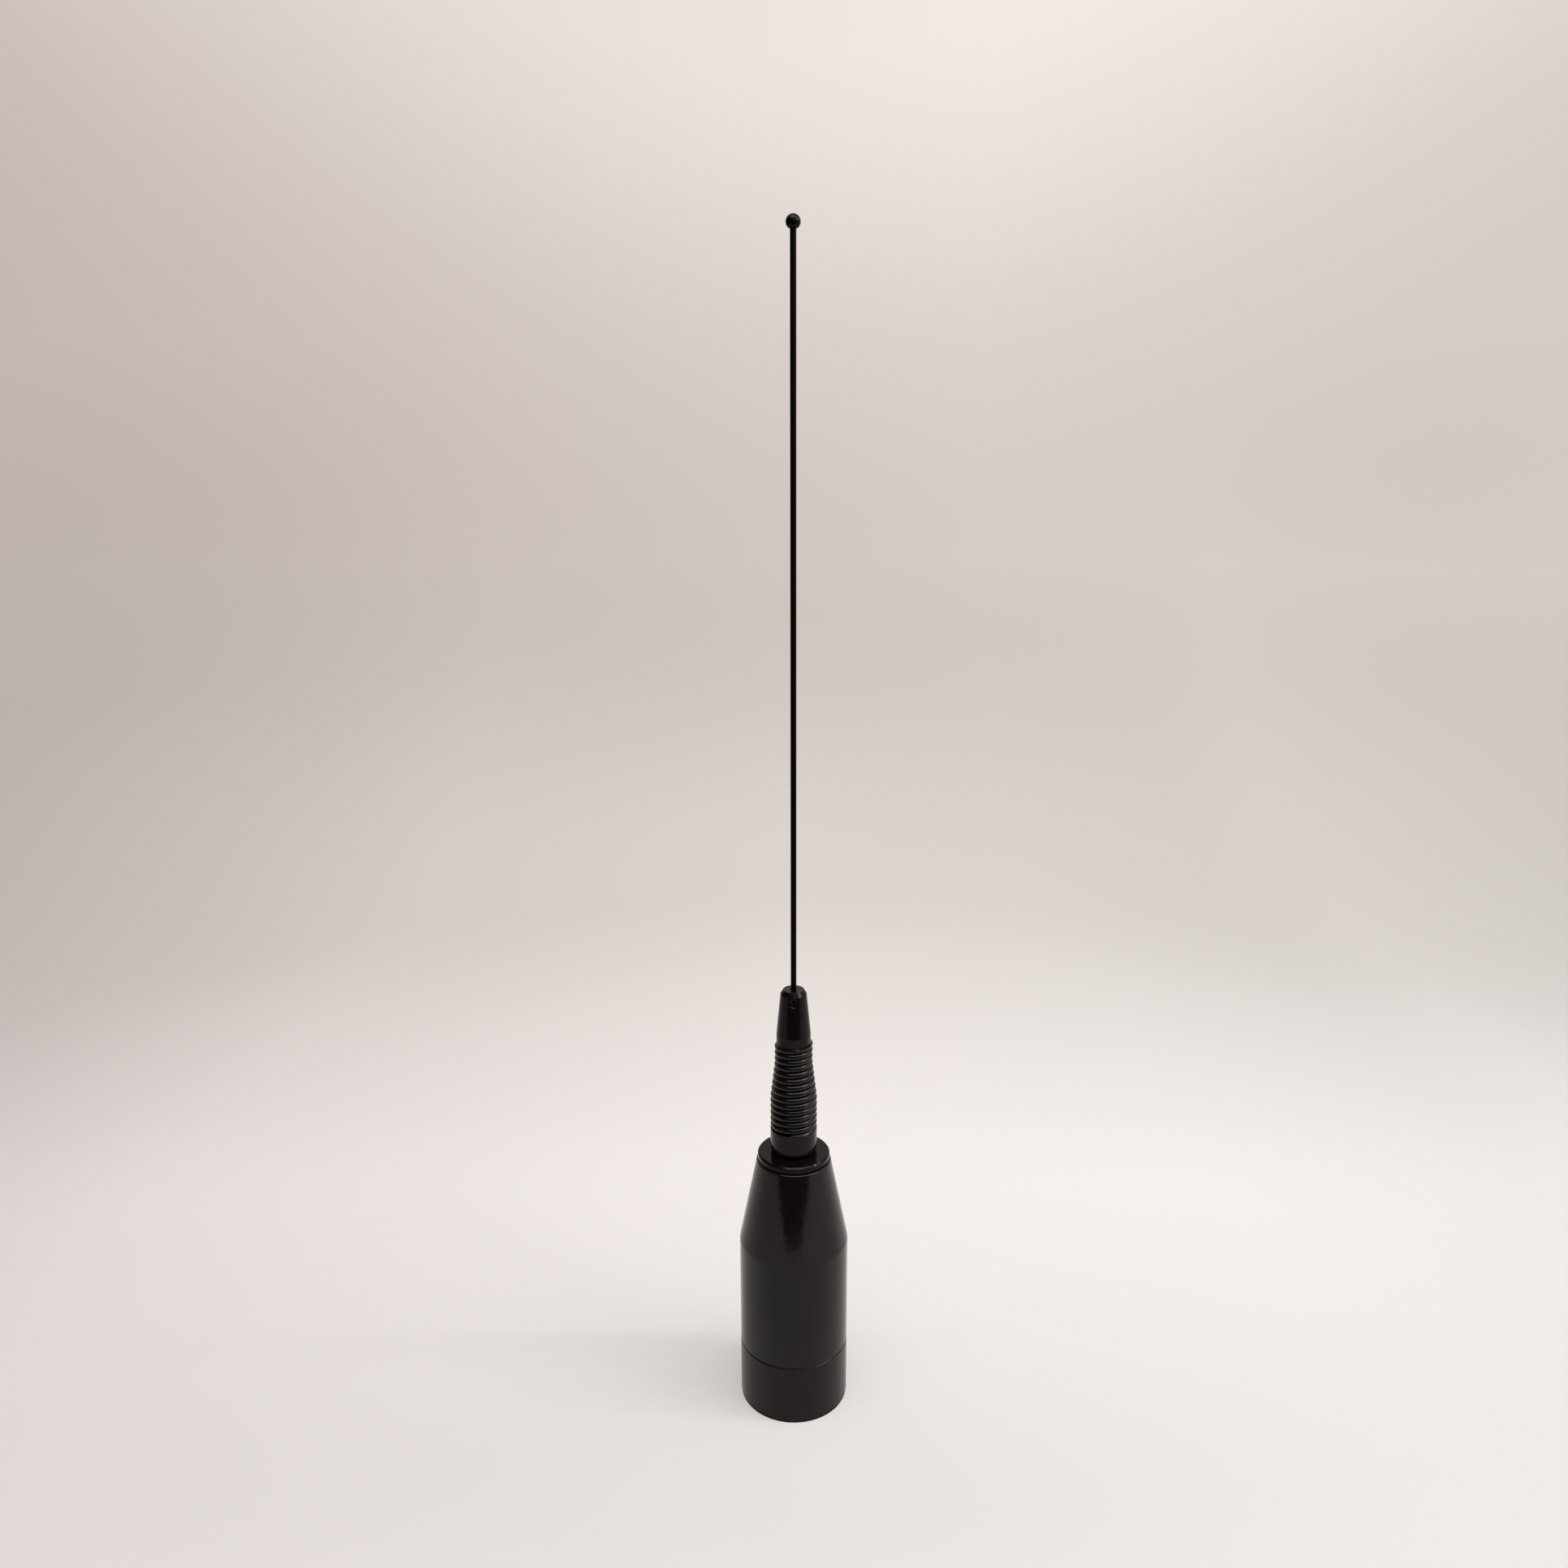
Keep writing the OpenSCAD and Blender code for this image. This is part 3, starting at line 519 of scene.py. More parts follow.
class Maker:
    """Makes meshes by turning, sweeping and cutting.

    Attributes:
        SUPPORT: Distance of the points that keep a face flat beside its rounded edge.
        LONG: Length from which a stretch of profile gets them.
        ARC_ERROR: How far the flats of a rounding may lie inside its arc.
        COARSEST: Share of a small rounding that its flats may cut off at most.
        MAX_REACH: Share of a stretch that one rounding may take up.
        SHARP: Angle from which an edge is shaded sharp.
    """

    SUPPORT = 0.06
    LONG = 6 * SUPPORT
    ARC_ERROR = 0.002
    COARSEST = 0.5
    MAX_REACH = 0.45
    SHARP = math.radians(38)

    @classmethod
    def object(
        cls, name: str, points: Sequence[Sequence[float]], faces: Sequence[Sequence[int]],
    ) -> bpy.types.Object:
        """Makes an object from points in millimetres.

        Args:
            name: Name of the piece.
            points: Its points.
            faces: Its faces, as point numbers.

        Returns:
            The object, smooth with crisp edges.
        """
        mesh = bpy.data.meshes.new(name)
        mesh.from_pydata([(x * MM, y * MM, z * MM) for x, y, z in points], [], faces)
        mesh.update()
        made = bpy.data.objects.new(name, mesh)
        bpy.context.scene.collection.objects.link(made)
        cls.shade(made)
        return made

    @classmethod
    def shade(cls, piece: bpy.types.Object) -> None:
        """Shades a piece smooth, with its sharp edges kept."""
        piece.data.shade_smooth()
        piece.data.set_sharp_from_angle(angle=cls.SHARP)

    @classmethod
    def rounded(cls, profile: Sequence[Corner], closed: bool) -> list[Vector]:
        """Rounds a profile's corners and adds the points that keep its faces flat.

        Args:
            profile: Radius, height and rounding of each corner, with the solid on the left.
            closed: Whether the last corner joins the first.

        Returns:
            The points, radius and height.
        """
        points: list[Vector] = []
        count = len(profile)
        for i, (r, z, size) in enumerate(profile):
            corner = Vector((r, z))
            if size <= 0 or (not closed and i in (0, count - 1)):
                points.append(corner)
                continue
            back = Vector(profile[i - 1][:2]) - corner
            ahead = Vector(profile[(i + 1) % count][:2]) - corner
            turn = math.pi - back.angle(ahead)
            reach = min(size * math.tan(turn / 2), cls.MAX_REACH * min(back.length, ahead.length))
            size = reach / math.tan(turn / 2)
            inward = (back.normalized() + ahead.normalized()).normalized()
            middle = corner + inward * (size / math.cos(turn / 2))
            first = corner + back.normalized() * reach - middle
            last = corner + ahead.normalized() * reach - middle
            sweep = first.angle_signed(last)
            step = 2 * math.acos(1 - min(cls.COARSEST, cls.ARC_ERROR / size))
            steps = max(2, math.ceil(turn / step))
            for k in range(steps + 1):
                arm = first.copy()
                arm.rotate(Matrix.Rotation(-sweep * k / steps, 2))
                points.append(middle + arm)
        return cls._supported(points, closed)

    @classmethod
    def _supported(cls, points: list[Vector], closed: bool) -> list[Vector]:
        """Adds a point close to each end of the long straight stretches.

        Args:
            points: The profile's points.
            closed: Whether the last one joins the first.

        Returns:
            All points in order.
        """
        kept: list[Vector] = []
        stretches = len(points) if closed else len(points) - 1
        for i in range(len(points)):
            kept.append(points[i])
            if i >= stretches:
                continue
            way = points[(i + 1) % len(points)] - points[i]
            if way.length > cls.LONG:
                kept.append(points[i] + way.normalized() * cls.SUPPORT)
                kept.append(points[i] + way - way.normalized() * cls.SUPPORT)
        return kept

    @classmethod
    def turned(
        cls, name: str, profile: Sequence[Corner], closed: bool = True, segments: int = 128,
        thread: Thread | None = None,
    ) -> bpy.types.Object:
        """Turns a profile round the axis.

        Args:
            name: Name of the piece.
            profile: Corners with the solid on the left; an open one starts and ends on the axis.
            closed: Whether the profile is a closed outline off the axis.
            segments: Steps round the axis.
            thread: Ridges on one of its walls.

        Returns:
            The object.
        """
        line = cls.rounded(profile, closed)
        if thread:
            line = cls._threaded(line, thread, closed)
        points: list[Point] = []
        rings: list[list[int]] = []
        for p in line:
            if abs(p.x) < TINY:
                rings.append([len(points)] * segments)
                points.append((0.0, 0.0, p.y))
                continue
            rings.append(list(range(len(points), len(points) + segments)))
            for j in range(segments):
                angle = TAU * j / segments
                r = p.x + (thread.at(p.y, angle) if thread and thread.on(p, p) else 0.0)
                points.append((r * math.cos(angle), r * math.sin(angle), p.y))
        faces = []
        for i in range(len(rings) if closed else len(rings) - 1):
            low, high = rings[i], rings[(i + 1) % len(rings)]
            for j in range(segments):
                k = (j + 1) % segments
                face = list(dict.fromkeys((low[j], low[k], high[k], high[j])))
                if len(face) > 2:
                    faces.append(face)
        return cls.object(name, points, faces)

    @staticmethod
    def _threaded(line: list[Vector], thread: Thread, closed: bool) -> list[Vector]:
        """Adds rows of points on the threaded wall.

        Args:
            line: The profile's points.
            thread: The ridges that the rows carry.
            closed: Whether the last point joins the first.

        Returns:
            All points in order.
        """
        dense: list[Vector] = []
        for i, p in enumerate(line):
            dense.append(p)
            if not closed and i == len(line) - 1:
                break
            ahead = line[(i + 1) % len(line)]
            if thread.on(p, ahead):
                rows = max(1, round((ahead - p).length * thread.rows / thread.pitch))
                dense += [p.lerp(ahead, k / rows) for k in range(1, rows)]
        return dense

    @staticmethod
    def round_axis(places: Iterable[Point]) -> tuple[list[Vector], list[Vector]]:
        """Sets points round the axis.

        Args:
            places: Angle, radius and height of each point.

        Returns:
            The points, and the direction away from the axis at each.
        """
        path, out = [], []
        for angle, r, z in places:
            out.append(Vector((math.cos(angle), math.sin(angle), 0)))
            path.append(out[-1] * r + Vector((0, 0, z)))
        return path, out

    @classmethod
    def swept(
        cls, name: str, path: Sequence[Vector], across: Sequence[Vector], half: Pair, sides: int,
        level: Pair | None = None, girth: Sequence[float] | None = None,
    ) -> bpy.types.Object:
        """Sweeps a round or flat wire along a path.

        Args:
            name: Name of the piece.
            path: Points of its centre line.
            across: A direction across the path at each point.
            half: Half the wire's thickness along that direction, and half its width.
            sides: Sides of the wire.
            level: Heights between which the wire is ground flat.
            girth: Share of its full thickness at each point.

        Returns:
            The object, closed at both ends.
        """
        points, faces = cls.wire(path, across, half, sides, level, girth=girth)
        return cls.object(name, points, faces)

    @staticmethod
    def _ground(centre: Vector, across: Vector, half: Pair, turn: float, face: float, below: bool) -> Vector:
        """Moves a point of a wire from beyond a ground face onto that face.

        The wire stays round up to the face, and the points beyond it are spread evenly over the flat.

        Args:
            centre: The wire's centre.
            across: Direction across the wire, along the face.
            half: Half the wire's thickness in that direction, and towards the face.
            turn: Angle of the point round the wire, from that direction and away from the face.
            face: Height of the face.
            below: Whether the face is at the lower end.

        Returns:
            The point on the face.
        """
        sunk = (face - centre.z if below else centre.z - face) / half[1]
        edge = math.asin(held(sunk, -1.0))
        turn %= TAU
        turn -= TAU if turn > math.pi / 2 else 0.0
        along = held(1 - 2 * (edge - turn) / max(math.pi + 2 * edge, TINY), -1.0)
        point = centre + across * (half[0] * math.cos(edge) * along)
        point.z = face
        return point

    @classmethod
    def wire(
        cls, path: Sequence[Vector], across: Sequence[Vector], half: Pair, sides: int,
        level: Pair | None = None, first: int = 0, girth: Sequence[float] | None = None,
    ) -> tuple[list[Point], list[list[int]]]:
        """Points and faces of one swept wire.

        Args:
            path: Points of its centre line.
            across: A direction across the path at each point.
            half: Half the wire's thickness along that direction, and half its width.
            sides: Sides of the wire.
            level: Heights between which the wire is ground flat.
            first: Number of its first point.
            girth: Share of its full thickness at each point.

        Returns:
            The points and the faces.
        """
        points: list[Point] = []
        last = len(path) - 1
        for i, p in enumerate(path):
            way = (path[min(i + 1, last)] - path[max(i - 1, 0)]).normalized()
            u = (across[i] - way * across[i].dot(way)).normalized()
            v = way.cross(u)
            share = girth[i] if girth else 1.0
            for s in range(sides):
                angle = TAU * s / sides
                q = p + share * (u * (half[0] * math.cos(angle)) + v * (half[1] * math.sin(angle)))
                if level and not level[0] <= q.z <= level[1]:
                    below = q.z < level[0]
                    turn = angle if below == (v.z > 0) else -angle
                    face = level[0] if below else level[1]
                    q = cls._ground(p, u, (share * half[0], share * half[1]), turn, face, below)
                points.append((q.x, q.y, q.z))
        faces = []
        for i in range(last):
            for s in range(sides):
                a, b = first + i * sides + s, first + i * sides + (s + 1) % sides
                faces.append([a, b, b + sides, a + sides])
        faces.append([first + s for s in reversed(range(sides))])
        faces.append([first + last * sides + s for s in range(sides)])
        return points, faces

    @classmethod
    def cut(cls, piece: bpy.types.Object, *cutters: bpy.types.Object) -> None:
        """Cuts other objects out of a piece and removes them.

        Args:
            piece: The piece that is cut.
            *cutters: The objects that are taken out of it.
        """
        for cutter in cutters:
            modifier = piece.modifiers.new("cut", "BOOLEAN")
            modifier.operation, modifier.solver, modifier.object = "DIFFERENCE", "EXACT", cutter
        bpy.context.view_layer.update()
        graph = bpy.context.evaluated_depsgraph_get()
        mesh = bpy.data.meshes.new_from_object(piece.evaluated_get(graph))
        piece.modifiers.clear()
        old, piece.data = piece.data, mesh
        mesh.name = piece.name
        bpy.data.meshes.remove(old)
        for cutter in cutters:
            bpy.data.meshes.remove(cutter.data)
        cls.shade(piece)


@dataclass
class Bench:
    """What every sub-assembly needs to finish a piece and fasten it.

    Attributes:
        nodes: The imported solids, by name.
        shop: Where the materials come from.
    """

    nodes: dict[str, bpy.types.Object]
    shop: FinishShop = field(default_factory=FinishShop)

    def _finish(self, piece: bpy.types.Object, finish: Finishes, stands_for: Sequence[str]) -> None:
        """Gives a piece its material and hides the solids that it replaces.

        Args:
            piece: The piece.
            finish: Its finish.
            stands_for: The solids that it replaces.
        """
        piece.data.materials.clear()
        piece.data.materials.append(self.shop.material(finish.value))
        if stands_for:
            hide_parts(*stands_for)

    def ride(
        self, piece: bpy.types.Object, body: Body, finish: Finishes, *stands_for: str,
    ) -> bpy.types.Object:
        """Fastens a rigid piece to a body.

        Args:
            piece: The piece.
            body: The body it moves with.
            finish: Its finish.
            *stands_for: The solids that it replaces.

        Returns:
            The piece.
        """
        self._finish(piece, finish, stands_for)
        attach(piece, body.value)
        LOG.info("%s rides on %s in %s", piece.name, body.value, finish.value.label)
        return piece

    def bend(
        self, piece: bpy.types.Object, low: tuple[Body, float], high: tuple[Body, float], finish: Finishes,
        *stands_for: str,
    ) -> bpy.types.Object:
        """Finishes a springy piece and bakes its place into its mesh; it is fastened to no body.

        Args:
            piece: The piece.
            low: The lower body, which only the log names; the height is not used.
            high: The upper body, which only the log names; the height is not used.
            finish: Its finish.
            *stands_for: The solids that it replaces.

        Returns:
            The piece.
        """
        self._finish(piece, finish, stands_for)
        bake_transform(piece)
        LOG.info("%s bends from %s to %s in %s", piece.name, low[0].value, high[0].value, finish.value.label)
        return piece

    def dress(self, node: str, finish: Finishes) -> None:
        """Gives a solid that stays a finish.

        Args:
            node: Name of the solid.
            finish: Its finish.
        """
        solid = self.nodes[node]
        made = self.shop.material(finish.value)
        for place in solid.material_slots:
            place.material = made
        LOG.info("%s stays as its solid in %s", node, finish.value.label)


@dataclass
class RoofBase:
    """Gasket, base ring, threaded insert and the housing's sealing ring."""

    base_r: float = 19.0
    ring_low: float = 0.6
    ring_top: float = 21.8
    seam_edge: float = 0.28
    foot_edge: float = 0.4
    gasket_in: float = 15.64
    gasket_out: float = 18.3
    flange_out: float = 18.9
    gasket_h: float = 1.8
    rest: float = 0.1
    lip_r: float = 14.64
    spigot_r: float = 16.95
    spigot_top: float = 27.6
    cavity_r: float = 14.6
    seal_z: float = 24.7
    seal_d: float = 1.2
    insert_r: float = 16.39
    insert_fit: float = 0.05
    insert_low: float = 2.4
    web_low: float = 9.4
    web_top: float = 11.4
    web_hole_r: float = 11.5
    thread_r: float = 14.29
    thread_lead: float = 0.5
    thread_pitch: float = 25.4 / 18
    thread_rise: float = 0.74
    thread_ramp: float = 0.8
    screw_at: float = 12.7
    screw_hole_r: float = 1.0
    screw_sink: Pair = (0.9, 0.2)
    screw_turns: tuple[float, ...] = (-35.0, 85.0, 205.0)
    drill_past: float = 1.0

    def build(self, bench: Bench) -> None:
        """Makes and fastens the base's pieces.

        Args:
            bench: Finishes and fastens them.
        """
        bench.ride(self.gasket(), Body.BASE, Finishes.RUBBER, "base_gasket")
        bench.ride(self.ring(), Body.BASE, Finishes.RING, "base_ring")
        bench.ride(self.insert(), Body.BASE, Finishes.BRASS, "thread_insert")
        bench.dress("housing_seal", Finishes.RUBBER)

    def gasket(self) -> bpy.types.Object:
        """Makes the rubber gasket with soft edges.

        Returns:
            The gasket.
        """
        flange = self.ring_low + self.foot_edge / 2
        return Maker.turned("gasket_ring", [
            (self.gasket_in, 0, 0.35), (self.flange_out, 0, 0.18), (self.flange_out, flange, 0.12),
            (self.gasket_out, flange, 0.05), (self.gasket_out, self.gasket_h, 0.15),
            (self.gasket_in, self.gasket_h, 0.15),
        ], segments=176)

    def ring(self) -> bpy.types.Object:
        """Makes the base ring with its groove, foot, seam edge and spigot.

        Returns:
            The base ring.
        """
        foot, seam, inner = self.foot_edge, self.seam_edge, self.insert_r + self.insert_fit
        half = self.seal_d / 2 + self.rest
        floor = self.spigot_r - self.seal_d - self.rest
        groove_in, groove_out = self.gasket_in - self.rest, self.gasket_out + self.rest
        return Maker.turned("base_ring_body", [
            (self.lip_r, self.ring_low, 0.15), (groove_in, self.ring_low, 0.15),
            (groove_in, self.gasket_h, 0.1), (groove_out, self.gasket_h, 0.1),
            (groove_out, self.ring_low + foot / 2, 0.08),
            (self.base_r - foot / 2, self.ring_low + foot / 2, 0.14),
            (self.base_r, self.ring_low + foot, 0.2), (self.base_r, self.ring_top - seam, 0.12),
            (self.base_r - seam, self.ring_top, 0.05), (self.spigot_r, self.ring_top, 0.05),
            (self.spigot_r, self.seal_z - half, 0.08), (floor, self.seal_z - half, 0.08),
            (floor, self.seal_z + half, 0.08), (self.spigot_r, self.seal_z + half, 0.08),
            (self.spigot_r, self.spigot_top - foot, 0.1), (self.spigot_r - foot, self.spigot_top, 0.1),
            (self.cavity_r, self.spigot_top, 0.15), (self.cavity_r, self.web_top, 0.05),
            (inner, self.web_top, 0.05), (inner, self.insert_low, 0.05), (self.lip_r, self.insert_low, 0.1),
        ], segments=176)

    def insert(self) -> bpy.types.Object:
        """Makes the brass insert with its roof thread and screw holes.

        Returns:
            The insert.
        """
        lead = self.insert_low + self.thread_lead
        thread = Thread(
            self.thread_r, lead, self.web_low, self.thread_pitch, -self.thread_rise, self.thread_ramp,
        )
        made = Maker.turned("thread_insert_brass", [
            (self.thread_r + self.thread_lead, self.insert_low, 0.06), (self.insert_r, self.insert_low, 0.15),
            (self.insert_r, self.web_top, 0.15), (self.web_hole_r, self.web_top, 0.1),
            (self.web_hole_r, self.web_low, 0.25), (self.thread_r, self.web_low, 0),
            (self.thread_r, lead, 0),
        ], segments=168, thread=thread)
        drills = []
        low, high = self.web_low - self.drill_past, self.web_top + self.drill_past
        hole_r, (sink_r, sink_h) = self.screw_hole_r, self.screw_sink
        for turn in self.screw_turns:
            drill = Maker.turned("drill", [
                (0, low, 0), (hole_r + sink_r, low, 0), (hole_r, self.web_low + sink_h, 0), (hole_r, high, 0),
                (0, high, 0),
            ], closed=False, segments=40)
            angle = math.radians(turn)
            place = Vector((self.screw_at * math.cos(angle), self.screw_at * math.sin(angle), 0)) * MM
            drill.data.transform(Matrix.Translation(place))
            drills.append(drill)
        Maker.cut(made, *drills)
        return made


@dataclass
class CentreContact:
    """Insulator and screws, contact barrel, plunger, plunger spring, cap and ground lug."""

    barrel_r: float = 3.4
    barrel_low: float = 11.8
    barrel_top: float = 21.8
    bore_r: float = 2.05
    tip_hole_r: float = 1.65
    lip_top: float = 12.8
    flange_r: float = 5.0
    flange_low: float = 14.4
    flange_top: float = 15.4
    tip_r: float = 1.6
    tip_low: float = 9.6
    collar_r: float = 2.0
    collar_low: float = 12.85
    collar_top: float = 14.85
    guide_r: float = 1.025
    guide_top: float = 16.25
    plug_low: float = 20.8
    plug_fit: float = 0.05
    cap_top: float = 22.8
    post_r: float = 0.7
    post_top: float = 25.8
    coil_r: float = 1.75
    coil_wire: float = 0.4
    coil_turns: int = 5
    coil_steps: int = 28
    coil_sides: int = 9
    coil_low: float = 15.15
    coil_high: float = 20.5
    seat: float = 20.7
    travel: float = 2.0

    def build(self, bench: Bench) -> None:
        """Makes and fastens the contact's pieces.

        Args:
            bench: Finishes and fastens them.
        """
        bench.dress("contact_insulator", Finishes.INSULATOR)
        bench.dress("insulator_screws", Finishes.STEEL)
        bench.dress("ground_lug", Finishes.TINNED)
        bench.ride(self.barrel(), Body.BASE, Finishes.BRASS, "contact_barrel")
        bench.ride(self.plunger(), Body.CONTACT, Finishes.BRASS, "contact_plunger")
        bench.ride(self.cap(), Body.BASE, Finishes.TINNED, "barrel_cap")
        spring = bench.ride(self.spring(), Body.BASE, Finishes.STEEL, "contact_spring")
        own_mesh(spring)

    def barrel(self) -> bpy.types.Object:
        """Makes the flanged barrel with its turned-in lip.

        Returns:
            The barrel.
        """
        return Maker.turned("contact_barrel_brass", [
            (self.tip_hole_r, self.barrel_low, 0.12), (self.barrel_r, self.barrel_low, 0.3),
            (self.barrel_r, self.flange_low, 0.05), (self.flange_r, self.flange_low, 0.1),
            (self.flange_r, self.flange_top, 0.2), (self.barrel_r, self.flange_top, 0.1),
            (self.barrel_r, self.barrel_top, 0.12), (self.bore_r, self.barrel_top, 0.1),
            (self.bore_r, self.lip_top, 0.05), (self.tip_hole_r, self.lip_top, 0.08),
        ], segments=72)

    def plunger(self) -> bpy.types.Object:
        """Makes the plunger with its rounded tip, collar and spring guide.

        Returns:
            The plunger.
        """
        return Maker.turned("contact_plunger_brass", [
            (0, self.tip_low, 0), (self.tip_r, self.tip_low, 0.4), (self.tip_r, self.collar_low, 0.05),
            (self.collar_r, self.collar_low, 0.1), (self.collar_r, self.collar_top, 0.1),
            (self.guide_r, self.collar_top, 0.08), (self.guide_r, self.guide_top, 0.2),
            (0, self.guide_top, 0),
        ], closed=False, segments=56)

    def cap(self) -> bpy.types.Object:
        """Makes the barrel's cap with its solder post.

        Returns:
            The cap.
        """
        plug_r = self.bore_r - self.plug_fit
        return Maker.turned("barrel_cap_post", [
            (0, self.plug_low, 0), (plug_r, self.plug_low, 0.1), (plug_r, self.barrel_top, 0.03),
            (self.barrel_r, self.barrel_top, 0.06), (self.barrel_r, self.cap_top, 0.2),
            (self.post_r, self.cap_top, 0.15), (self.post_r, self.post_top, 0.2), (0, self.post_top, 0),
        ], closed=False, segments=56)

    def spring(self) -> bpy.types.Object:
        """Makes the plunger's spring as a round wire.

        Returns:
            The spring.
        """
        steps = self.coil_steps * self.coil_turns
        rise = self.coil_high - self.coil_low
        path, out = Maker.round_axis(
            (TAU * self.coil_turns * i / steps, self.coil_r, self.coil_low + rise * i / steps)
            for i in range(steps + 1)
        )
        return Maker.swept("plunger_spring", path, out, (self.coil_wire / 2,) * 2, self.coil_sides)


@dataclass
class CoilHousing:
    """Housing shell, coil former, loading coil, feed lead and the hardware under the roof."""

    base_r: float = 19.0
    low: float = 21.8
    seam_edge: float = 0.28
    shoulder: float = 61.7
    shoulder_round: float = 8.0
    cone_top: float = 92.3
    cone_top_r: float = 12.8
    cone_round: float = 0.55
    wall: float = 2.0
    roof_low: float = 90.0
    stud_hole_r: float = 4.07
    coil_r: float = 10.349
    coil_wire: float = 1.2
    coil_low: float = 20.4
    coil_pitch: float = 3.0
    coil_turns: int = 12
    coil_steps: int = 40
    coil_sides: int = 10
    lead_low: float = 14.95
    lead_high: float = 87.85
    bend: float = 1.8
    feed_wire: float = 1.0
    feed_sides: int = 12
    feed_bend: float = 0.4
    feed_points: tuple[Pair, ...] = ((0.75, 24.3), (3.95, 24.3), (5.55, 26.4), (9.65, 26.4))

    def build(self, bench: Bench) -> None:
        """Makes and fastens the housing's pieces.

        Args:
            bench: Finishes and fastens them.
        """
        bench.ride(self.shell(), Body.BASE, Finishes.HOUSING, "housing_shell")
        bench.ride(self.coil(), Body.BASE, Finishes.COPPER, "loading_coil")
        bench.ride(self.feed(), Body.BASE, Finishes.COPPER, "feed_lead")
        bench.dress("coil_former", Finishes.FORMER)
        bench.dress("stud_lug", Finishes.TINNED)
        bench.dress("stud_lock_washer", Finishes.STEEL)
        bench.dress("stud_nut", Finishes.BRASS)

    def shell(self) -> bpy.types.Object:
        """Makes the housing: straight part, rounded shoulder, cone and roof.

        Returns:
            The housing.
        """
        slope = (self.base_r - self.cone_top_r) / (self.cone_top - self.shoulder)
        inner = self.base_r - self.wall
        roof_r = inner - (self.roof_low - self.shoulder) * slope
        return Maker.turned("housing_shell_body", [
            (inner, self.low, 0.1), (self.base_r - self.seam_edge, self.low, 0.05),
            (self.base_r, self.low + self.seam_edge, 0.12), (self.base_r, self.shoulder, self.shoulder_round),
            (self.cone_top_r, self.cone_top, self.cone_round),
            (self.stud_hole_r, self.cone_top, 0.1), (self.stud_hole_r, self.roof_low, 0.1),
            (roof_r, self.roof_low, 0.6), (inner, self.shoulder, self.shoulder_round),
        ], segments=192)

    def coil(self) -> bpy.types.Object:
        """Makes the loading coil with its two upright leads.

        Returns:
            The coil.
        """
        run = TAU * self.coil_r * self.coil_turns
        rise = self.coil_pitch / (TAU * self.coil_r)
        top = self.coil_low + self.coil_pitch * self.coil_turns
        foot = (0.0, self.coil_low - self.bend)
        flat: list[Pair] = [(0.0, self.lead_low), foot]
        flat += self._bend(foot, (0.0, self.coil_low), (self.bend, self.coil_low + rise * self.bend))
        steps = self.coil_steps * self.coil_turns
        for i in range(1, steps):
            u = self.bend + (run - 2 * self.bend) * i / steps
            flat.append((u, self.coil_low + rise * u))
        flat += self._bend((run - self.bend, top - rise * self.bend), (run, top), (run, top + self.bend))
        flat.append((run, self.lead_high))
        path, out = Maker.round_axis((u / self.coil_r, self.coil_r, z) for u, z in flat)
        return Maker.swept("loading_coil_wire", path, out, (self.coil_wire / 2,) * 2, self.coil_sides)

    def feed(self) -> bpy.types.Object:
        """Makes the lead from the contact's post to the coil's tap.

        Returns:
            The feed lead.
        """
        a, b, c, d = self.feed_points
        flat = [a]
        for before, corner, after in ((a, b, c), (b, c, d)):
            flat += self._bend(self._near(corner, before), corner, self._near(corner, after))
        flat.append(d)
        path = [Vector((x, 0, z)) for x, z in flat]
        across = [Vector((0, 1, 0))] * len(path)
        return Maker.swept("feed_lead_wire", path, across, (self.feed_wire / 2,) * 2, self.feed_sides)

    def _near(self, corner: Pair, other: Pair) -> Pair:
        """Point on the way from a corner to its neighbour where a bend starts."""
        start = Vector(corner).lerp(Vector(other), self.feed_bend)
        return start.x, start.y

    @staticmethod
    def _bend(a: Pair, b: Pair, c: Pair, steps: int = 8) -> list[Pair]:
        """Rounds a corner.

        Args:
            a: Where the bend starts.
            b: The corner.
            c: Where the bend ends.
            steps: Points on it.

        Returns:
            Its points, both ends among them.
        """
        curve = []
        for i in range(steps + 1):
            t = i / steps
            p = Vector(a) * (1 - t) ** 2 + Vector(b) * (2 * t * (1 - t)) + Vector(c) * t ** 2
            curve.append((p.x, p.y))
        return curve


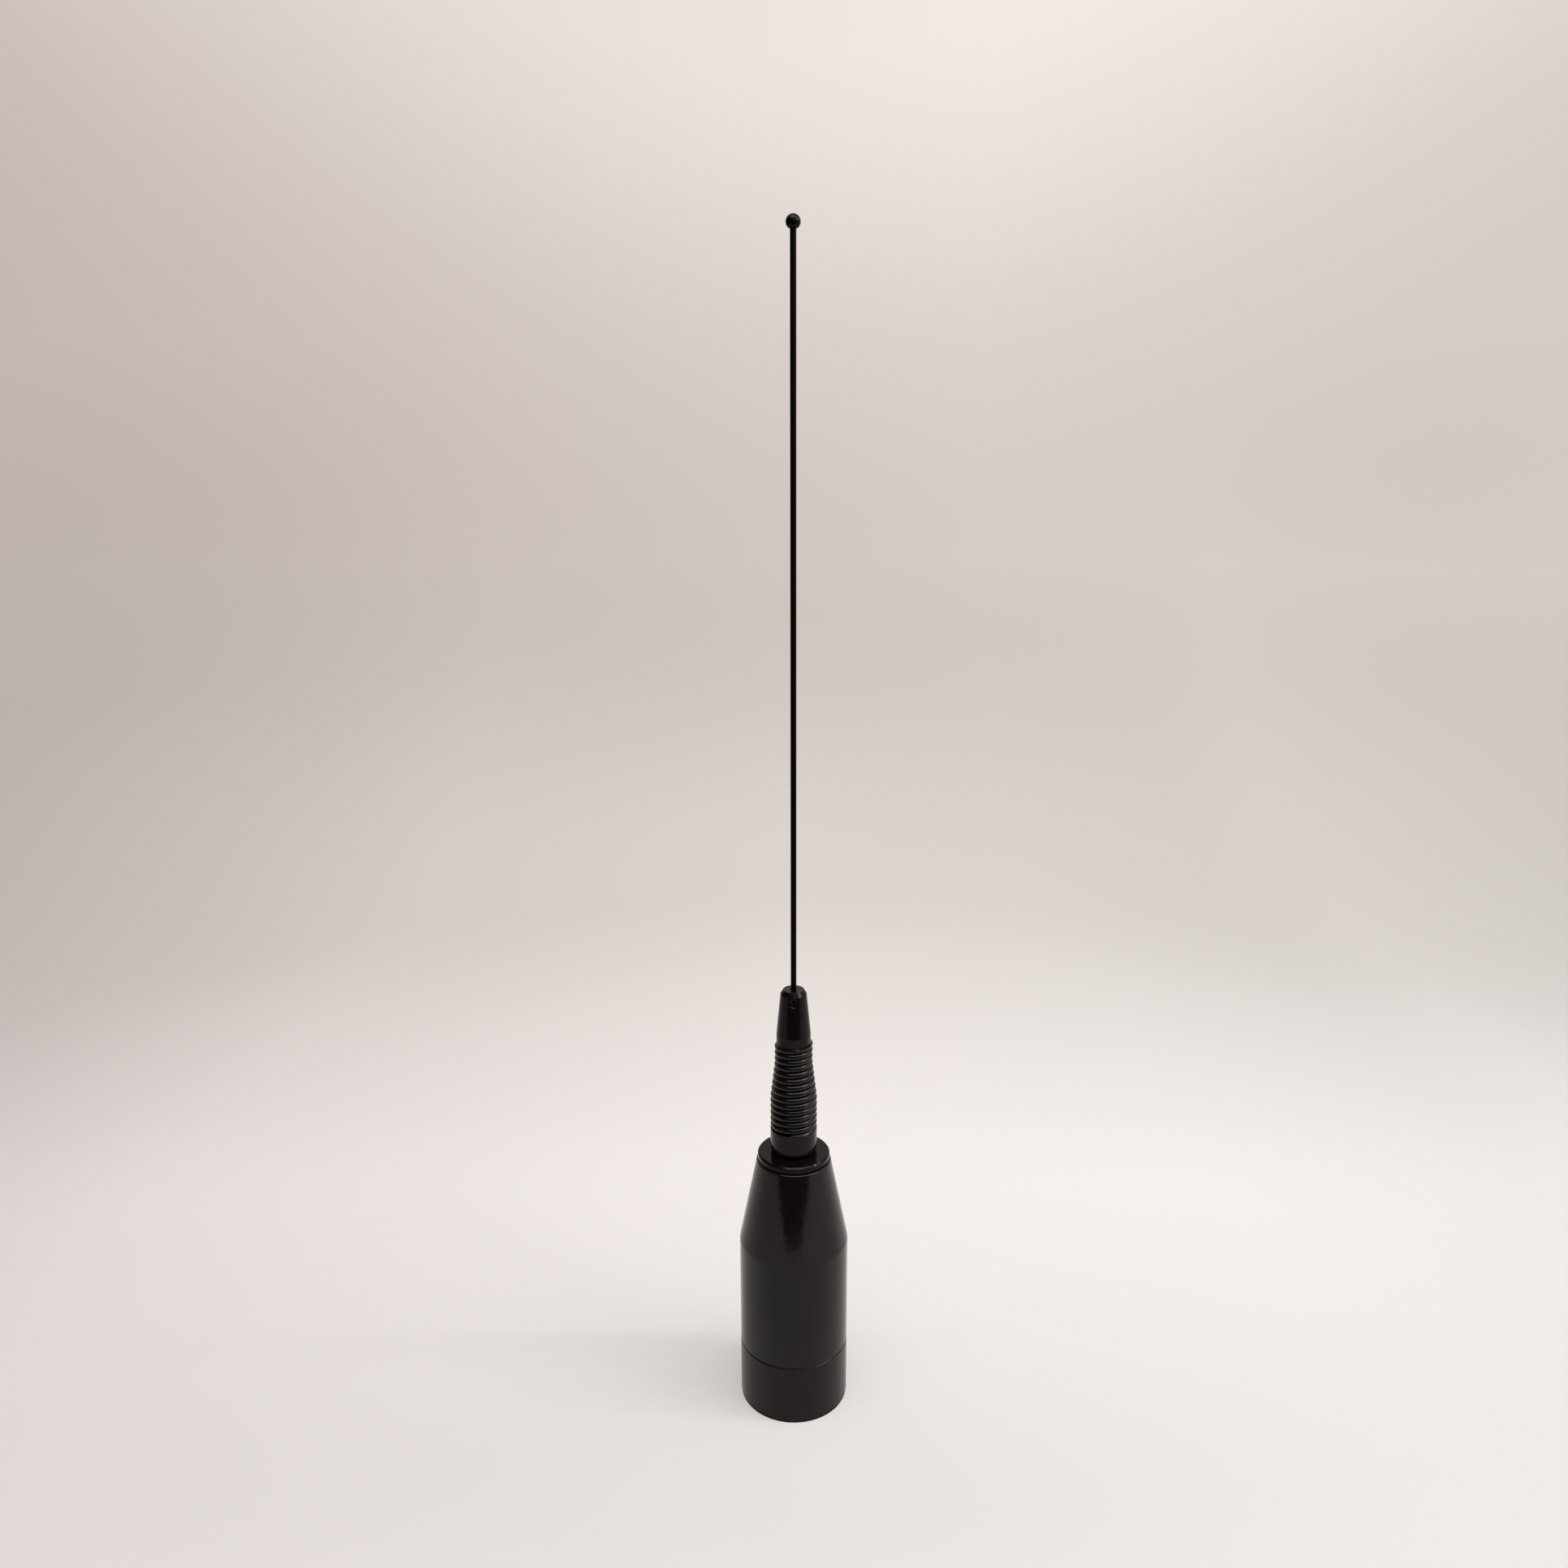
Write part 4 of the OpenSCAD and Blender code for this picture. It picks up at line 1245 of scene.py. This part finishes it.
@dataclass
class TopFittings:
    """Stud, seal, top disc and spring adapter."""

    stud_r: float = 3.97
    stud_low: float = 77.5
    stud_top: float = 102.5
    stud_edge: float = 0.6
    stud_pitch: float = 25.4 / 24
    stud_depth: float = 0.55
    stud_ramp: float = 0.5
    stud_rows: int = 6
    hole_r: float = 4.07
    seal_low: float = 92.3
    seal_top: float = 92.9
    seal_r: float = 11.75
    disc_top: float = 95.0
    disc_r: float = 12.45
    disc_edge: float = 0.55
    adapter_r: float = 8.025
    adapter_slope: float = 1.5
    adapter_top: float = 104.0
    adapter_bore: float = 4.02
    bore_top: float = 102.6
    spigot_r: float = 5.675
    spigot_top: float = 108.5
    socket_r: float = 1.6
    socket_low: float = 107.0

    def build(self, bench: Bench) -> None:
        """Makes and fastens the top pieces.

        Args:
            bench: Finishes and fastens them.
        """
        bench.ride(self.stud(), Body.BASE, Finishes.BRASS, "top_stud")
        bench.ride(self.seal(), Body.BASE, Finishes.RUBBER, "top_seal")
        bench.ride(self.disc(), Body.BASE, Finishes.DISC, "top_disc")
        bench.ride(self.adapter(), Body.BASE, Finishes.PLATED, "spring_adapter")

    def stud(self) -> bpy.types.Object:
        """Makes the stud with its thread cut into the full diameter.

        Returns:
            The stud.
        """
        edge = self.stud_edge
        low, high = self.stud_low + edge, self.stud_top - edge
        thread = Thread(
            self.stud_r, low, high, self.stud_pitch, -self.stud_depth, self.stud_ramp, rows=self.stud_rows,
        )
        return Maker.turned("top_stud_threaded", [
            (0, self.stud_low, 0), (self.stud_r - edge, self.stud_low, 0.1), (self.stud_r, low, 0),
            (self.stud_r, high, 0), (self.stud_r - edge, self.stud_top, 0.1), (0, self.stud_top, 0),
        ], closed=False, segments=48, thread=thread)

    def seal(self) -> bpy.types.Object:
        """Makes the thin seal under the disc.

        Returns:
            The seal.
        """
        return Maker.turned("top_seal_rubber", [
            (self.hole_r, self.seal_low, 0.05), (self.seal_r, self.seal_low, 0.2),
            (self.seal_r, self.seal_top, 0.2), (self.hole_r, self.seal_top, 0.05),
        ], segments=144)

    def disc(self) -> bpy.types.Object:
        """Makes the top disc with its chamfered rim.

        Returns:
            The disc.
        """
        edge = self.disc_edge
        return Maker.turned("top_disc_plate", [
            (self.hole_r, self.seal_top, 0.08), (self.disc_r, self.seal_top, 0.12),
            (self.disc_r, self.disc_top - edge, 0.3), (self.disc_r - edge, self.disc_top, 0.3),
            (self.hole_r, self.disc_top, 0.08),
        ], segments=176)

    def adapter(self) -> bpy.types.Object:
        """Makes the spring adapter with its sloped foot, spigot and bores.

        Returns:
            The adapter.
        """
        r, slope = self.adapter_r, self.adapter_slope
        return Maker.turned("spring_adapter_body", [
            (0, self.bore_top, 0), (self.adapter_bore, self.bore_top, 0.1),
            (self.adapter_bore, self.disc_top, 0.1),
            (r - slope, self.disc_top, 0.1), (r, self.disc_top + slope, 0.35), (r, self.adapter_top, 0.2),
            (self.spigot_r, self.adapter_top, 0.1), (self.spigot_r, self.spigot_top, 0.3),
            (self.socket_r, self.spigot_top, 0.1), (self.socket_r, self.socket_low, 0.05),
            (0, self.socket_low, 0),
        ], closed=False, segments=128)


@dataclass
class ShockSpring:
    """Close-wound spring between adapter and ferrule, with the copper braid inside it.

    Each is made in two halves, split at the spring's middle.
    """

    low: float = 104.1
    height: float = 31.2
    wire: float = 2.13
    lowest: float = 103.5
    pitch: float = 2.215
    turns: float = 14.628
    phase: float = -104.5
    nose: int = 1
    nose_share: float = 0.8
    low_d: float = 16.05
    top_d: float = 13.0
    straight: float = 11.4
    taper: float = 12.8
    middle: float = 119.75
    hold_low: float = 108.5
    hold_high: float = 131.0
    rings: int = 48
    sides: int = 16
    braid_low: float = 107.1
    braid_high: float = 132.4
    braid_r: float = 1.2
    braid_core: float = 0.95
    braid_lead: float = 12.0
    braid_strands: int = 6
    strand_half: Pair = (0.13, 0.5)
    strand_wave: float = 0.12
    strand_sides: int = 6
    core_sides: int = 16
    braid_steps: int = 4

    def build(self, bench: Bench) -> None:
        """Makes the spring and the braid and gives them their finishes.

        Args:
            bench: Finishes them.
        """
        split = (self.middle - self.lowest) / self.pitch
        mid = self.middle
        lower = ((Body.BASE, self.hold_low), (Body.SPRING, mid))
        upper = ((Body.SPRING, mid), (Body.FERRULE, self.hold_high))
        for piece, hold in (
            (self.winding("shock_spring_lower", 0, split), lower),
            (self.winding("shock_spring_upper", split, self.turns), upper),
        ):
            bench.bend(piece, *hold, Finishes.SPRING, "shock_spring")
        for piece, hold in (
            (self.braid("shunt_braid_lower", self.braid_low, mid), lower),
            (self.braid("shunt_braid_upper", mid, self.braid_high), upper),
        ):
            bench.bend(piece, *hold, Finishes.COPPER, "shunt_braid")

    def outer_r(self, z: float) -> float:
        """Outer radius of the spring at a height."""
        share = held((z - self.low - self.straight) / self.taper)
        return (self.low_d + (self.top_d - self.low_d) * share) / 2

    def winding(self, name: str, first: float, last: float) -> bpy.types.Object:
        """Makes a stretch of the spring.

        Args:
            name: Name of the piece.
            first: Turn where it starts, counted from the lower end.
            last: Turn where it ends.

        Returns:
            The object, ground level at the spring's ends.
        """
        steps = math.ceil((last - first) * self.rings)
        places, girth = [], []
        for i in range(steps + 1):
            turn = first + (last - first) * i / steps
            z = self.lowest + turn * self.pitch
            places.append((math.radians(self.phase) + TAU * turn, self.outer_r(z) - self.wire / 2, z))
            inset = max(0.0, 1 - min(turn, self.turns - turn) * self.rings / self.nose)
            girth.append(self.nose_share + (1 - self.nose_share) * math.sqrt(1 - inset ** 2))
        path, out = Maker.round_axis(places)
        level = (self.low, self.low + self.height)
        return Maker.swept(name, path, out, (self.wire / 2,) * 2, self.sides, level, girth)

    def braid(self, name: str, low: float, high: float) -> bpy.types.Object:
        """Makes a stretch of the braid: flat strands woven over and under each other.

        Args:
            name: Name of the piece.
            low: Height where it starts.
            high: Height where it ends.

        Returns:
            The object.
        """
        points: list[Point] = []
        faces: list[list[int]] = []
        steps = math.ceil((high - low) * self.braid_steps)
        heights = [low + (high - low) * i / steps for i in range(steps + 1)]
        for way in (1, -1):
            for k in range(self.braid_strands):
                path, out = Maker.round_axis(self._strand(way, k, z) for z in heights)
                more, sides = Maker.wire(path, out, self.strand_half, self.strand_sides, first=len(points))
                points += more
                faces += sides
        core, across = [Vector((0, 0, z)) for z in heights], [Vector((1, 0, 0))] * len(heights)
        more, sides = Maker.wire(core, across, (self.braid_core,) * 2, self.core_sides, first=len(points))
        return Maker.object(name, points + more, faces + sides)

    def _strand(self, way: int, k: int, z: float) -> Point:
        """Place of a strand of the braid at a height.

        Args:
            way: 1 for a right-handed strand, -1 for a left-handed one.
            k: Number of the strand.
            z: The height.

        Returns:
            Its angle, radius and height.
        """
        turn = TAU / self.braid_lead * (z - self.braid_low)
        wave = way * self.strand_wave * math.cos(self.braid_strands * turn)
        return way * turn + TAU * k / self.braid_strands, self.braid_r + wave, z


@dataclass
class WhipFerrule:
    """Tapered ferrule with its set screw."""

    spigot_low: float = 131.0
    spigot_r: float = 4.15
    socket_r: float = 1.6
    socket_top: float = 132.5
    collar_low: float = 135.4
    collar_r: float = 5.87
    collar_top: float = 138.7
    taper_top: float = 153.1
    taper_r: float = 4.46
    top: float = 154.6
    flat_r: float = 3.55
    bore_r: float = 1.0
    bore_low: float = 134.0
    hole_z: float = 151.4
    hole_r: float = 1.55
    hole_edge: float = 0.12
    drill_in: float = 0.6
    drill_past: float = 1.0
    screw_r: float = 1.5
    screw_in: float = 1.0
    screw_face: float = 3.73
    screw_pitch: float = 0.5
    screw_depth: float = 0.28
    screw_ramp: float = 0.2
    screw_rows: int = 8
    point_edge: Pair = (0.4, 0.3)
    face_edge: float = 0.25
    socket_af: float = 1.5
    socket_cone: float = 0.25

    def build(self, bench: Bench) -> None:
        """Makes and fastens the ferrule and its screw.

        Args:
            bench: Finishes and fastens them.
        """
        bench.ride(self.ferrule(), Body.FERRULE, Finishes.FERRULE, "whip_ferrule")
        bench.ride(self.screw(), Body.FERRULE, Finishes.OXIDE, "ferrule_set_screw")

    def _sideways(self, piece: bpy.types.Object) -> bpy.types.Object:
        """Turns a piece from the axis to the set screw's place, facing the front.

        Args:
            piece: The piece.

        Returns:
            The piece.
        """
        place = Matrix.Translation(Vector((0, 0, self.hole_z)) * MM)
        piece.data.transform(place @ Matrix.Rotation(math.pi / 2, 4, "X"))
        return piece

    def ferrule(self) -> bpy.types.Object:
        """Makes the ferrule and drills the set screw's hole with a small edge break.

        Returns:
            The ferrule.
        """
        made = Maker.turned("whip_ferrule_body", [
            (0, self.socket_top, 0), (self.socket_r, self.socket_top, 0.05),
            (self.socket_r, self.spigot_low, 0.1),
            (self.spigot_r, self.spigot_low, 0.3), (self.spigot_r, self.collar_low, 0.1),
            (self.collar_r, self.collar_low, 0.18), (self.collar_r, self.collar_top, 2.5),
            (self.taper_r, self.taper_top, 0.2), (self.flat_r, self.top, 0.2), (self.bore_r, self.top, 0.15),
            (self.bore_r, self.bore_low, 0.05), (0, self.bore_low, 0),
        ], closed=False, segments=144)
        share = (self.hole_z - self.collar_top) / (self.taper_top - self.collar_top)
        surface = self.collar_r + (self.taper_r - self.collar_r) * share
        far = self.collar_r + self.drill_past
        drill = Maker.turned("drill", [
            (0, self.drill_in, 0), (self.hole_r, self.drill_in, 0),
            (self.hole_r, surface - self.hole_edge, 0),
            (self.hole_r + far - surface + self.hole_edge, far, 0), (0, far, 0),
        ], closed=False, segments=56)
        Maker.cut(made, self._sideways(drill))
        return made

    def screw(self) -> bpy.types.Object:
        """Makes the set screw with its thread and hex socket.

        Returns:
            The set screw.
        """
        r, (point_r, point_h) = self.screw_r, self.point_edge
        low, high = self.screw_in + point_h, self.screw_face - self.face_edge
        thread = Thread(
            r, low, high, self.screw_pitch, -self.screw_depth, self.screw_ramp, rows=self.screw_rows,
        )
        made = Maker.turned("set_screw_socket", [
            (0, self.screw_in, 0), (r - point_r, self.screw_in, 0.1), (r, low, 0), (r, high, 0),
            (r - self.face_edge, self.screw_face, 0.06), (0, self.screw_face, 0),
        ], closed=False, segments=48, thread=thread)
        middle = (self.screw_in + self.screw_face) / 2
        corner = self.socket_af / 2 / math.cos(math.pi / 6)
        far = self.screw_face + self.drill_past
        hexagon = Maker.turned("hex", [
            (0, middle, 0), (corner, middle + self.socket_cone, 0), (corner, far, 0), (0, far, 0),
        ], closed=False, segments=6)
        Maker.cut(made, hexagon)
        return self._sideways(made)


@dataclass
class Whip:
    """Whip rod and its tip ball."""

    r: float = 0.95
    low: float = 138.6
    high: float = 393.6
    end_edge: float = 0.32
    ball_r: float = 2.25
    ball_flat: float = 1.75
    ball_bore: float = 1.0
    ball_gap: float = 0.05
    ball_steps: int = 28

    def build(self, bench: Bench) -> None:
        """Makes and fastens the whip and its ball.

        Args:
            bench: Finishes and fastens them.
        """
        bench.ride(self.rod(), Body.WHIP, Finishes.WHIP, "whip")
        bench.ride(self.ball(), Body.WHIP, Finishes.BALL, "tip_ball")

    def rod(self) -> bpy.types.Object:
        """Makes the straight rod with its lower end chamfered.

        Returns:
            The whip rod.
        """
        return Maker.turned("whip_rod", [
            (0, self.low, 0), (self.r - self.end_edge, self.low, 0.08),
            (self.r, self.low + self.end_edge, 0.1), (self.r, self.high, 0.05), (0, self.high, 0),
        ], closed=False, segments=48)

    def ball(self) -> bpy.types.Object:
        """Makes the ball with its bore and the small flat underneath.

        Returns:
            The ball.
        """
        start = math.asin(-self.ball_flat / self.ball_r)
        arc = []
        for i in range(self.ball_steps + 1):
            angle = start + (math.pi / 2 - start) * i / self.ball_steps
            arc.append((self.ball_r * math.cos(angle), self.high + self.ball_r * math.sin(angle), 0.0))
        arc[-1] = (0.0, self.high + self.ball_r, 0.0)
        seat = self.high + self.ball_gap
        return Maker.turned("tip_ball_body", [
            (0, seat, 0), (self.ball_bore, seat, 0.04),
            (self.ball_bore, self.high - self.ball_flat, 0.02), *arc,
        ], closed=False, segments=72)


@dataclass(frozen=True)
class Lamp:
    """One flat lamp.

    Attributes:
        label: Its name.
        at: Its place.
        size: Its width and depth.
        power: Its power in watts.
        aim: The point that it faces; without one it faces straight down.
    """

    label: str
    at: Point
    size: Pair
    power: float
    aim: Point | None = None

    def hang(self) -> None:
        """Hangs the lamp, unseen by the camera."""
        data = bpy.data.lights.new(self.label, "AREA")
        data.shape, data.energy = "RECTANGLE", self.power
        data.size, data.size_y = self.size[0] * MM, self.size[1] * MM
        made = bpy.data.objects.new(self.label, data)
        made.location = Vector(self.at) * MM
        if self.aim:
            way = Vector(self.aim) - Vector(self.at)
            made.rotation_euler = way.to_track_quat("-Z", "Y").to_euler()
        made.visible_camera = False
        bpy.context.scene.collection.objects.link(made)


@dataclass
class Studio:
    """Camera, soft light, dark cards and the pale sweep that the antenna stands on.

    The fields from the painted light ramp to glow_h paint light and shade onto the sweep, in metres and
    shares.
    A span is where a painted shade starts and where it is full.
    """

    camera_at: Point = (-3.05, -382.3, 315.9)
    pitch: float = 13.31
    roll: float = -0.14
    lens: float = 27.95
    sensor: float = 36.0
    sight: Pair = (0.01, 20.0)
    sky: float = 0.45
    sky_tone: Colour = (1.0, 0.985, 0.975)
    lamps: tuple[Lamp, ...] = (
        Lamp("light_bar", (10, -90, 700), (580, 35), 0.79),
        Lamp("light_bar_right", (775, -90, 700), (950, 35), 2.76),
        Lamp("light_panel", (185, -240, 820), (870, 540), 2.98),
        Lamp("light_strip_front", (20, -412, 815), (760, 26), 0.55),
        Lamp("light_box", (809, -395, 694), (440, 180), 2.0, aim=(0, 0, 150)),
        Lamp("light_box_back", (900, 200, 750), (420, 160), 1.06, aim=(0, 0, 120)),
    )
    floor_r: float = 560.0
    floor_centre_r: float = 40.0
    sweep: float = 390.0
    sweep_steps: int = 24
    wall_h: float = 1500.0
    segments: int = 128
    # Painted light and shade on the paper, by distance from the foot: darker round the foot, light over the
    # floor, a darker band up the wall and lighter above it.
    painted_light_stops: tuple[tuple[float, Colour], ...] = (
        (0.00, (0.715, 0.681, 0.660)),
        (0.17, (0.925, 0.879, 0.855)),
        (0.27, (0.90, 0.854, 0.828)),
        (0.50, (0.85, 0.797, 0.755)),
        (0.80, (0.87, 0.81, 0.765)),
        (1.15, (0.62, 0.56, 0.528)),
        (1.48, (0.70, 0.632, 0.597)),
        (1.75, (0.92, 0.86, 0.82)),
    )
    across: float = 0.3
    # The place from which the painted light and shade is counted.
    painted_light_centre: float = -0.06
    # Painted shade on the paper to the left, to the right and at the sweep's far edges, with the colours that
    # it darkens towards.
    left_span: Pair = (0.2, -0.75)
    left_shade: float = 0.25
    left_shade_colour: Colour = (0.16, 0.06, 0.02)
    right_span: Pair = (0.0, 0.35)
    right_shade: float = 0.32
    edge_spans: tuple[Pair, ...] = ((-0.30, -0.70), (0.42, 0.76))
    edge_heights: Pair = (0.15, 0.45)
    edge_shade: float = 0.25
    edge_shade_colour: Colour = (0.0, 0.0, 0.0)
    glow: float = 0.45
    glow_h: float = 0.25
    card_tone: Colour = (0.01, 0.008, 0.008)
    front_card_y: float = -345.0
    front_card: tuple[Pair, ...] = (
        (-138, 0.5), (114, 1.5), (116, 7), (155, 9), (600, 10), (600, 60), (440, 150), (150, 340),
        (10, 350), (-20, 560), (-440, 560), (-440, 10), (-340, 8.5), (-170, 7), (-138, 5),
    )
    left_card_x: float = -450.0
    left_card: tuple[Pair, ...] = ((-450, 130), (250, 130), (250, 1100), (-450, 1100))

    def build(self) -> None:
        """Makes the camera, the lights, the sweep and the cards."""
        self.camera()
        self.light()
        self.backdrop()
        self.dark_cards()

    def camera(self) -> None:
        """Places the camera where the photograph was taken from."""
        data = bpy.data.cameras.new("camera")
        data.lens, data.sensor_width = self.lens, self.sensor
        data.clip_start, data.clip_end = self.sight
        made = bpy.data.objects.new("camera", data)
        tilt = Matrix.Rotation(math.radians(90 - self.pitch), 4, "X")
        roll = Matrix.Rotation(math.radians(self.roll), 4, "Z")
        made.matrix_world = Matrix.Translation(Vector(self.camera_at) * MM) @ tilt @ roll
        bpy.context.scene.collection.objects.link(made)
        bpy.context.scene.camera = made
        bpy.context.scene.view_settings.view_transform = "Standard"

    def light(self) -> None:
        """Sets even light from all round, and hangs the bars, the panel, the strip and the boxes."""
        world = bpy.data.worlds.new("even_sky")
        world.use_nodes = True
        graph = Graph(world.node_tree)
        sky = graph.add("Background", Color=self.sky_tone, Strength=self.sky)
        graph.add("OutputWorld", Surface=sky.outputs[0])
        bpy.context.scene.world = world
        for lamp in self.lamps:
            lamp.hang()

    def backdrop(self) -> None:
        """Makes one seamless surface: floor, sweep and wall all round."""
        count = self.segments
        line = [(self.floor_centre_r, 0.0), (self.floor_r, 0.0)]
        for i in range(1, self.sweep_steps + 1):
            angle = math.pi / 2 * i / self.sweep_steps
            line.append((self.floor_r + self.sweep * math.sin(angle), self.sweep * (1 - math.cos(angle))))
        line.append((self.floor_r + self.sweep, self.wall_h))
        points: list[Point] = [(0.0, 0.0, 0.0)]
        for r, z in line:
            angles = (TAU * j / count for j in range(count))
            points += [(r * math.cos(angle), r * math.sin(angle), z) for angle in angles]
        faces = [[0, 1 + j, 1 + (j + 1) % count] for j in range(count)]
        for i in range(len(line) - 1):
            a, b = 1 + i * count, 1 + (i + 1) * count
            faces += [[a + j, b + j, b + (j + 1) % count, a + (j + 1) % count] for j in range(count)]
        made = Maker.object("studio_sweep", points, faces)
        made.data.materials.append(self._sweep_material())
        made.visible_diffuse = False
        made.visible_shadow = False

    def _paint_light_and_shade(self, graph: Graph, place: bpy.types.bpy_prop_collection) -> bpy.types.NodeSocket:
        """Paints light and shade onto the paper, from the antenna's foot back over the floor and up the wall.

        Args:
            graph: The material's graph.
            place: X, Y and Z on the sweep.

        Returns:
            The colour.
        """
        side = graph.math("POWER", graph.math("MULTIPLY", place["X"], self.across), 2.0)
        back = graph.math("POWER", graph.math("SUBTRACT", place["Y"], self.painted_light_centre), 2.0)
        away = graph.math("SQRT", graph.math("ADD", side, back))
        span = self.painted_light_stops[-1][0]
        ramp = graph.add("ValToRGB", Fac=graph.math("DIVIDE", graph.math("ADD", away, place["Z"]), span))
        stops = ramp.color_ramp
        stops.interpolation = "B_SPLINE"
        while len(stops.elements) < len(self.painted_light_stops):
            stops.elements.new(0.5)
        for stop, (at, tone) in zip(stops.elements, self.painted_light_stops):
            stop.position = at / span
            stop.color = (*tone, 1.0)
        return ramp.outputs["Color"]

    def _sweep_material(self) -> bpy.types.Material:
        """Makes the sweep's pale paper with painted light and shade: painted shade to the left, to the right
        and at its edges.

        Returns:
            The material, which glows more the higher up it is.
        """
        made = bpy.data.materials.new("pale_paper_painted_light")
        made.use_nodes = True
        graph = Graph(made.node_tree)
        place = graph.add("SeparateXYZ", Vector=graph.add("TexCoord").outputs["Object"]).outputs
        # The paper's colour is painted light and shade: the ramp by distance, darkened by painted shade to
        # the left, the right and the edges.
        left = graph.ramp(place["X"], *self.left_span, 0.0, self.left_shade)
        right = graph.ramp(place["X"], *self.right_span, 0.0, self.right_shade)
        paper = graph.mix(left, self._paint_light_and_shade(graph, place), self.left_shade_colour)
        glow = graph.ramp(place["Z"], 0.0, self.glow_h, self.glow, 1.0)
        low = graph.math("MULTIPLY", right, graph.math("SUBTRACT", 1.0, glow))
        height = graph.ramp(place["Z"], *self.edge_heights, self.edge_shade, 0.0)
        sides = graph.math("ADD", *(graph.ramp(place["X"], *span) for span in self.edge_spans))
        dim = graph.math("ADD", low, graph.math("MULTIPLY", sides, height))
        paper = graph.mix(dim, paper, self.edge_shade_colour)
        # Painted light: the paper glows by itself, fully from glow_h up, and only its lower part takes the
        # lamps' light and shadow.
        plain = graph.add("BsdfDiffuse", Color=paper, Roughness=0.0)
        lit = graph.add("Emission", Color=paper, Strength=1.0)
        both = graph.add("MixShader", Fac=glow)
        graph.feed(both, 1, plain.outputs[0])
        graph.feed(both, 2, lit.outputs[0])
        graph.add("OutputMaterial", Surface=both.outputs[0])
        return made

    def dark_cards(self) -> None:
        """Stands a dark card before the antenna and one on its left, for its reflections alone."""
        card = bpy.data.materials.new("dark_card")
        card.use_nodes = True
        graph = Graph(card.node_tree)
        plain = graph.add("BsdfDiffuse", Color=self.card_tone)
        graph.add("OutputMaterial", Surface=plain.outputs[0])
        for name, points in (
            ("dark_card_front", [(x, self.front_card_y, z) for x, z in self.front_card]),
            ("dark_card_left", [(self.left_card_x, y, z) for y, z in self.left_card]),
        ):
            made = Maker.object(name, points, [list(range(len(points)))])
            made.data.materials.append(card)
            made.visible_camera = made.visible_diffuse = made.visible_shadow = False


def main() -> None:
    """Builds the studio and the antenna's sub-assemblies in order."""
    logging.basicConfig(level=logging.INFO, format="%(name)s: %(message)s")
    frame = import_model()
    Studio().build()
    bench = Bench(frame["nodes"])
    parts = (RoofBase(), CentreContact(), CoilHousing(), TopFittings(), ShockSpring(), WhipFerrule(), Whip())
    for part in parts:
        LOG.info("building %s", type(part).__name__)
        part.build(bench)


if __name__ == "__main__":
    main()
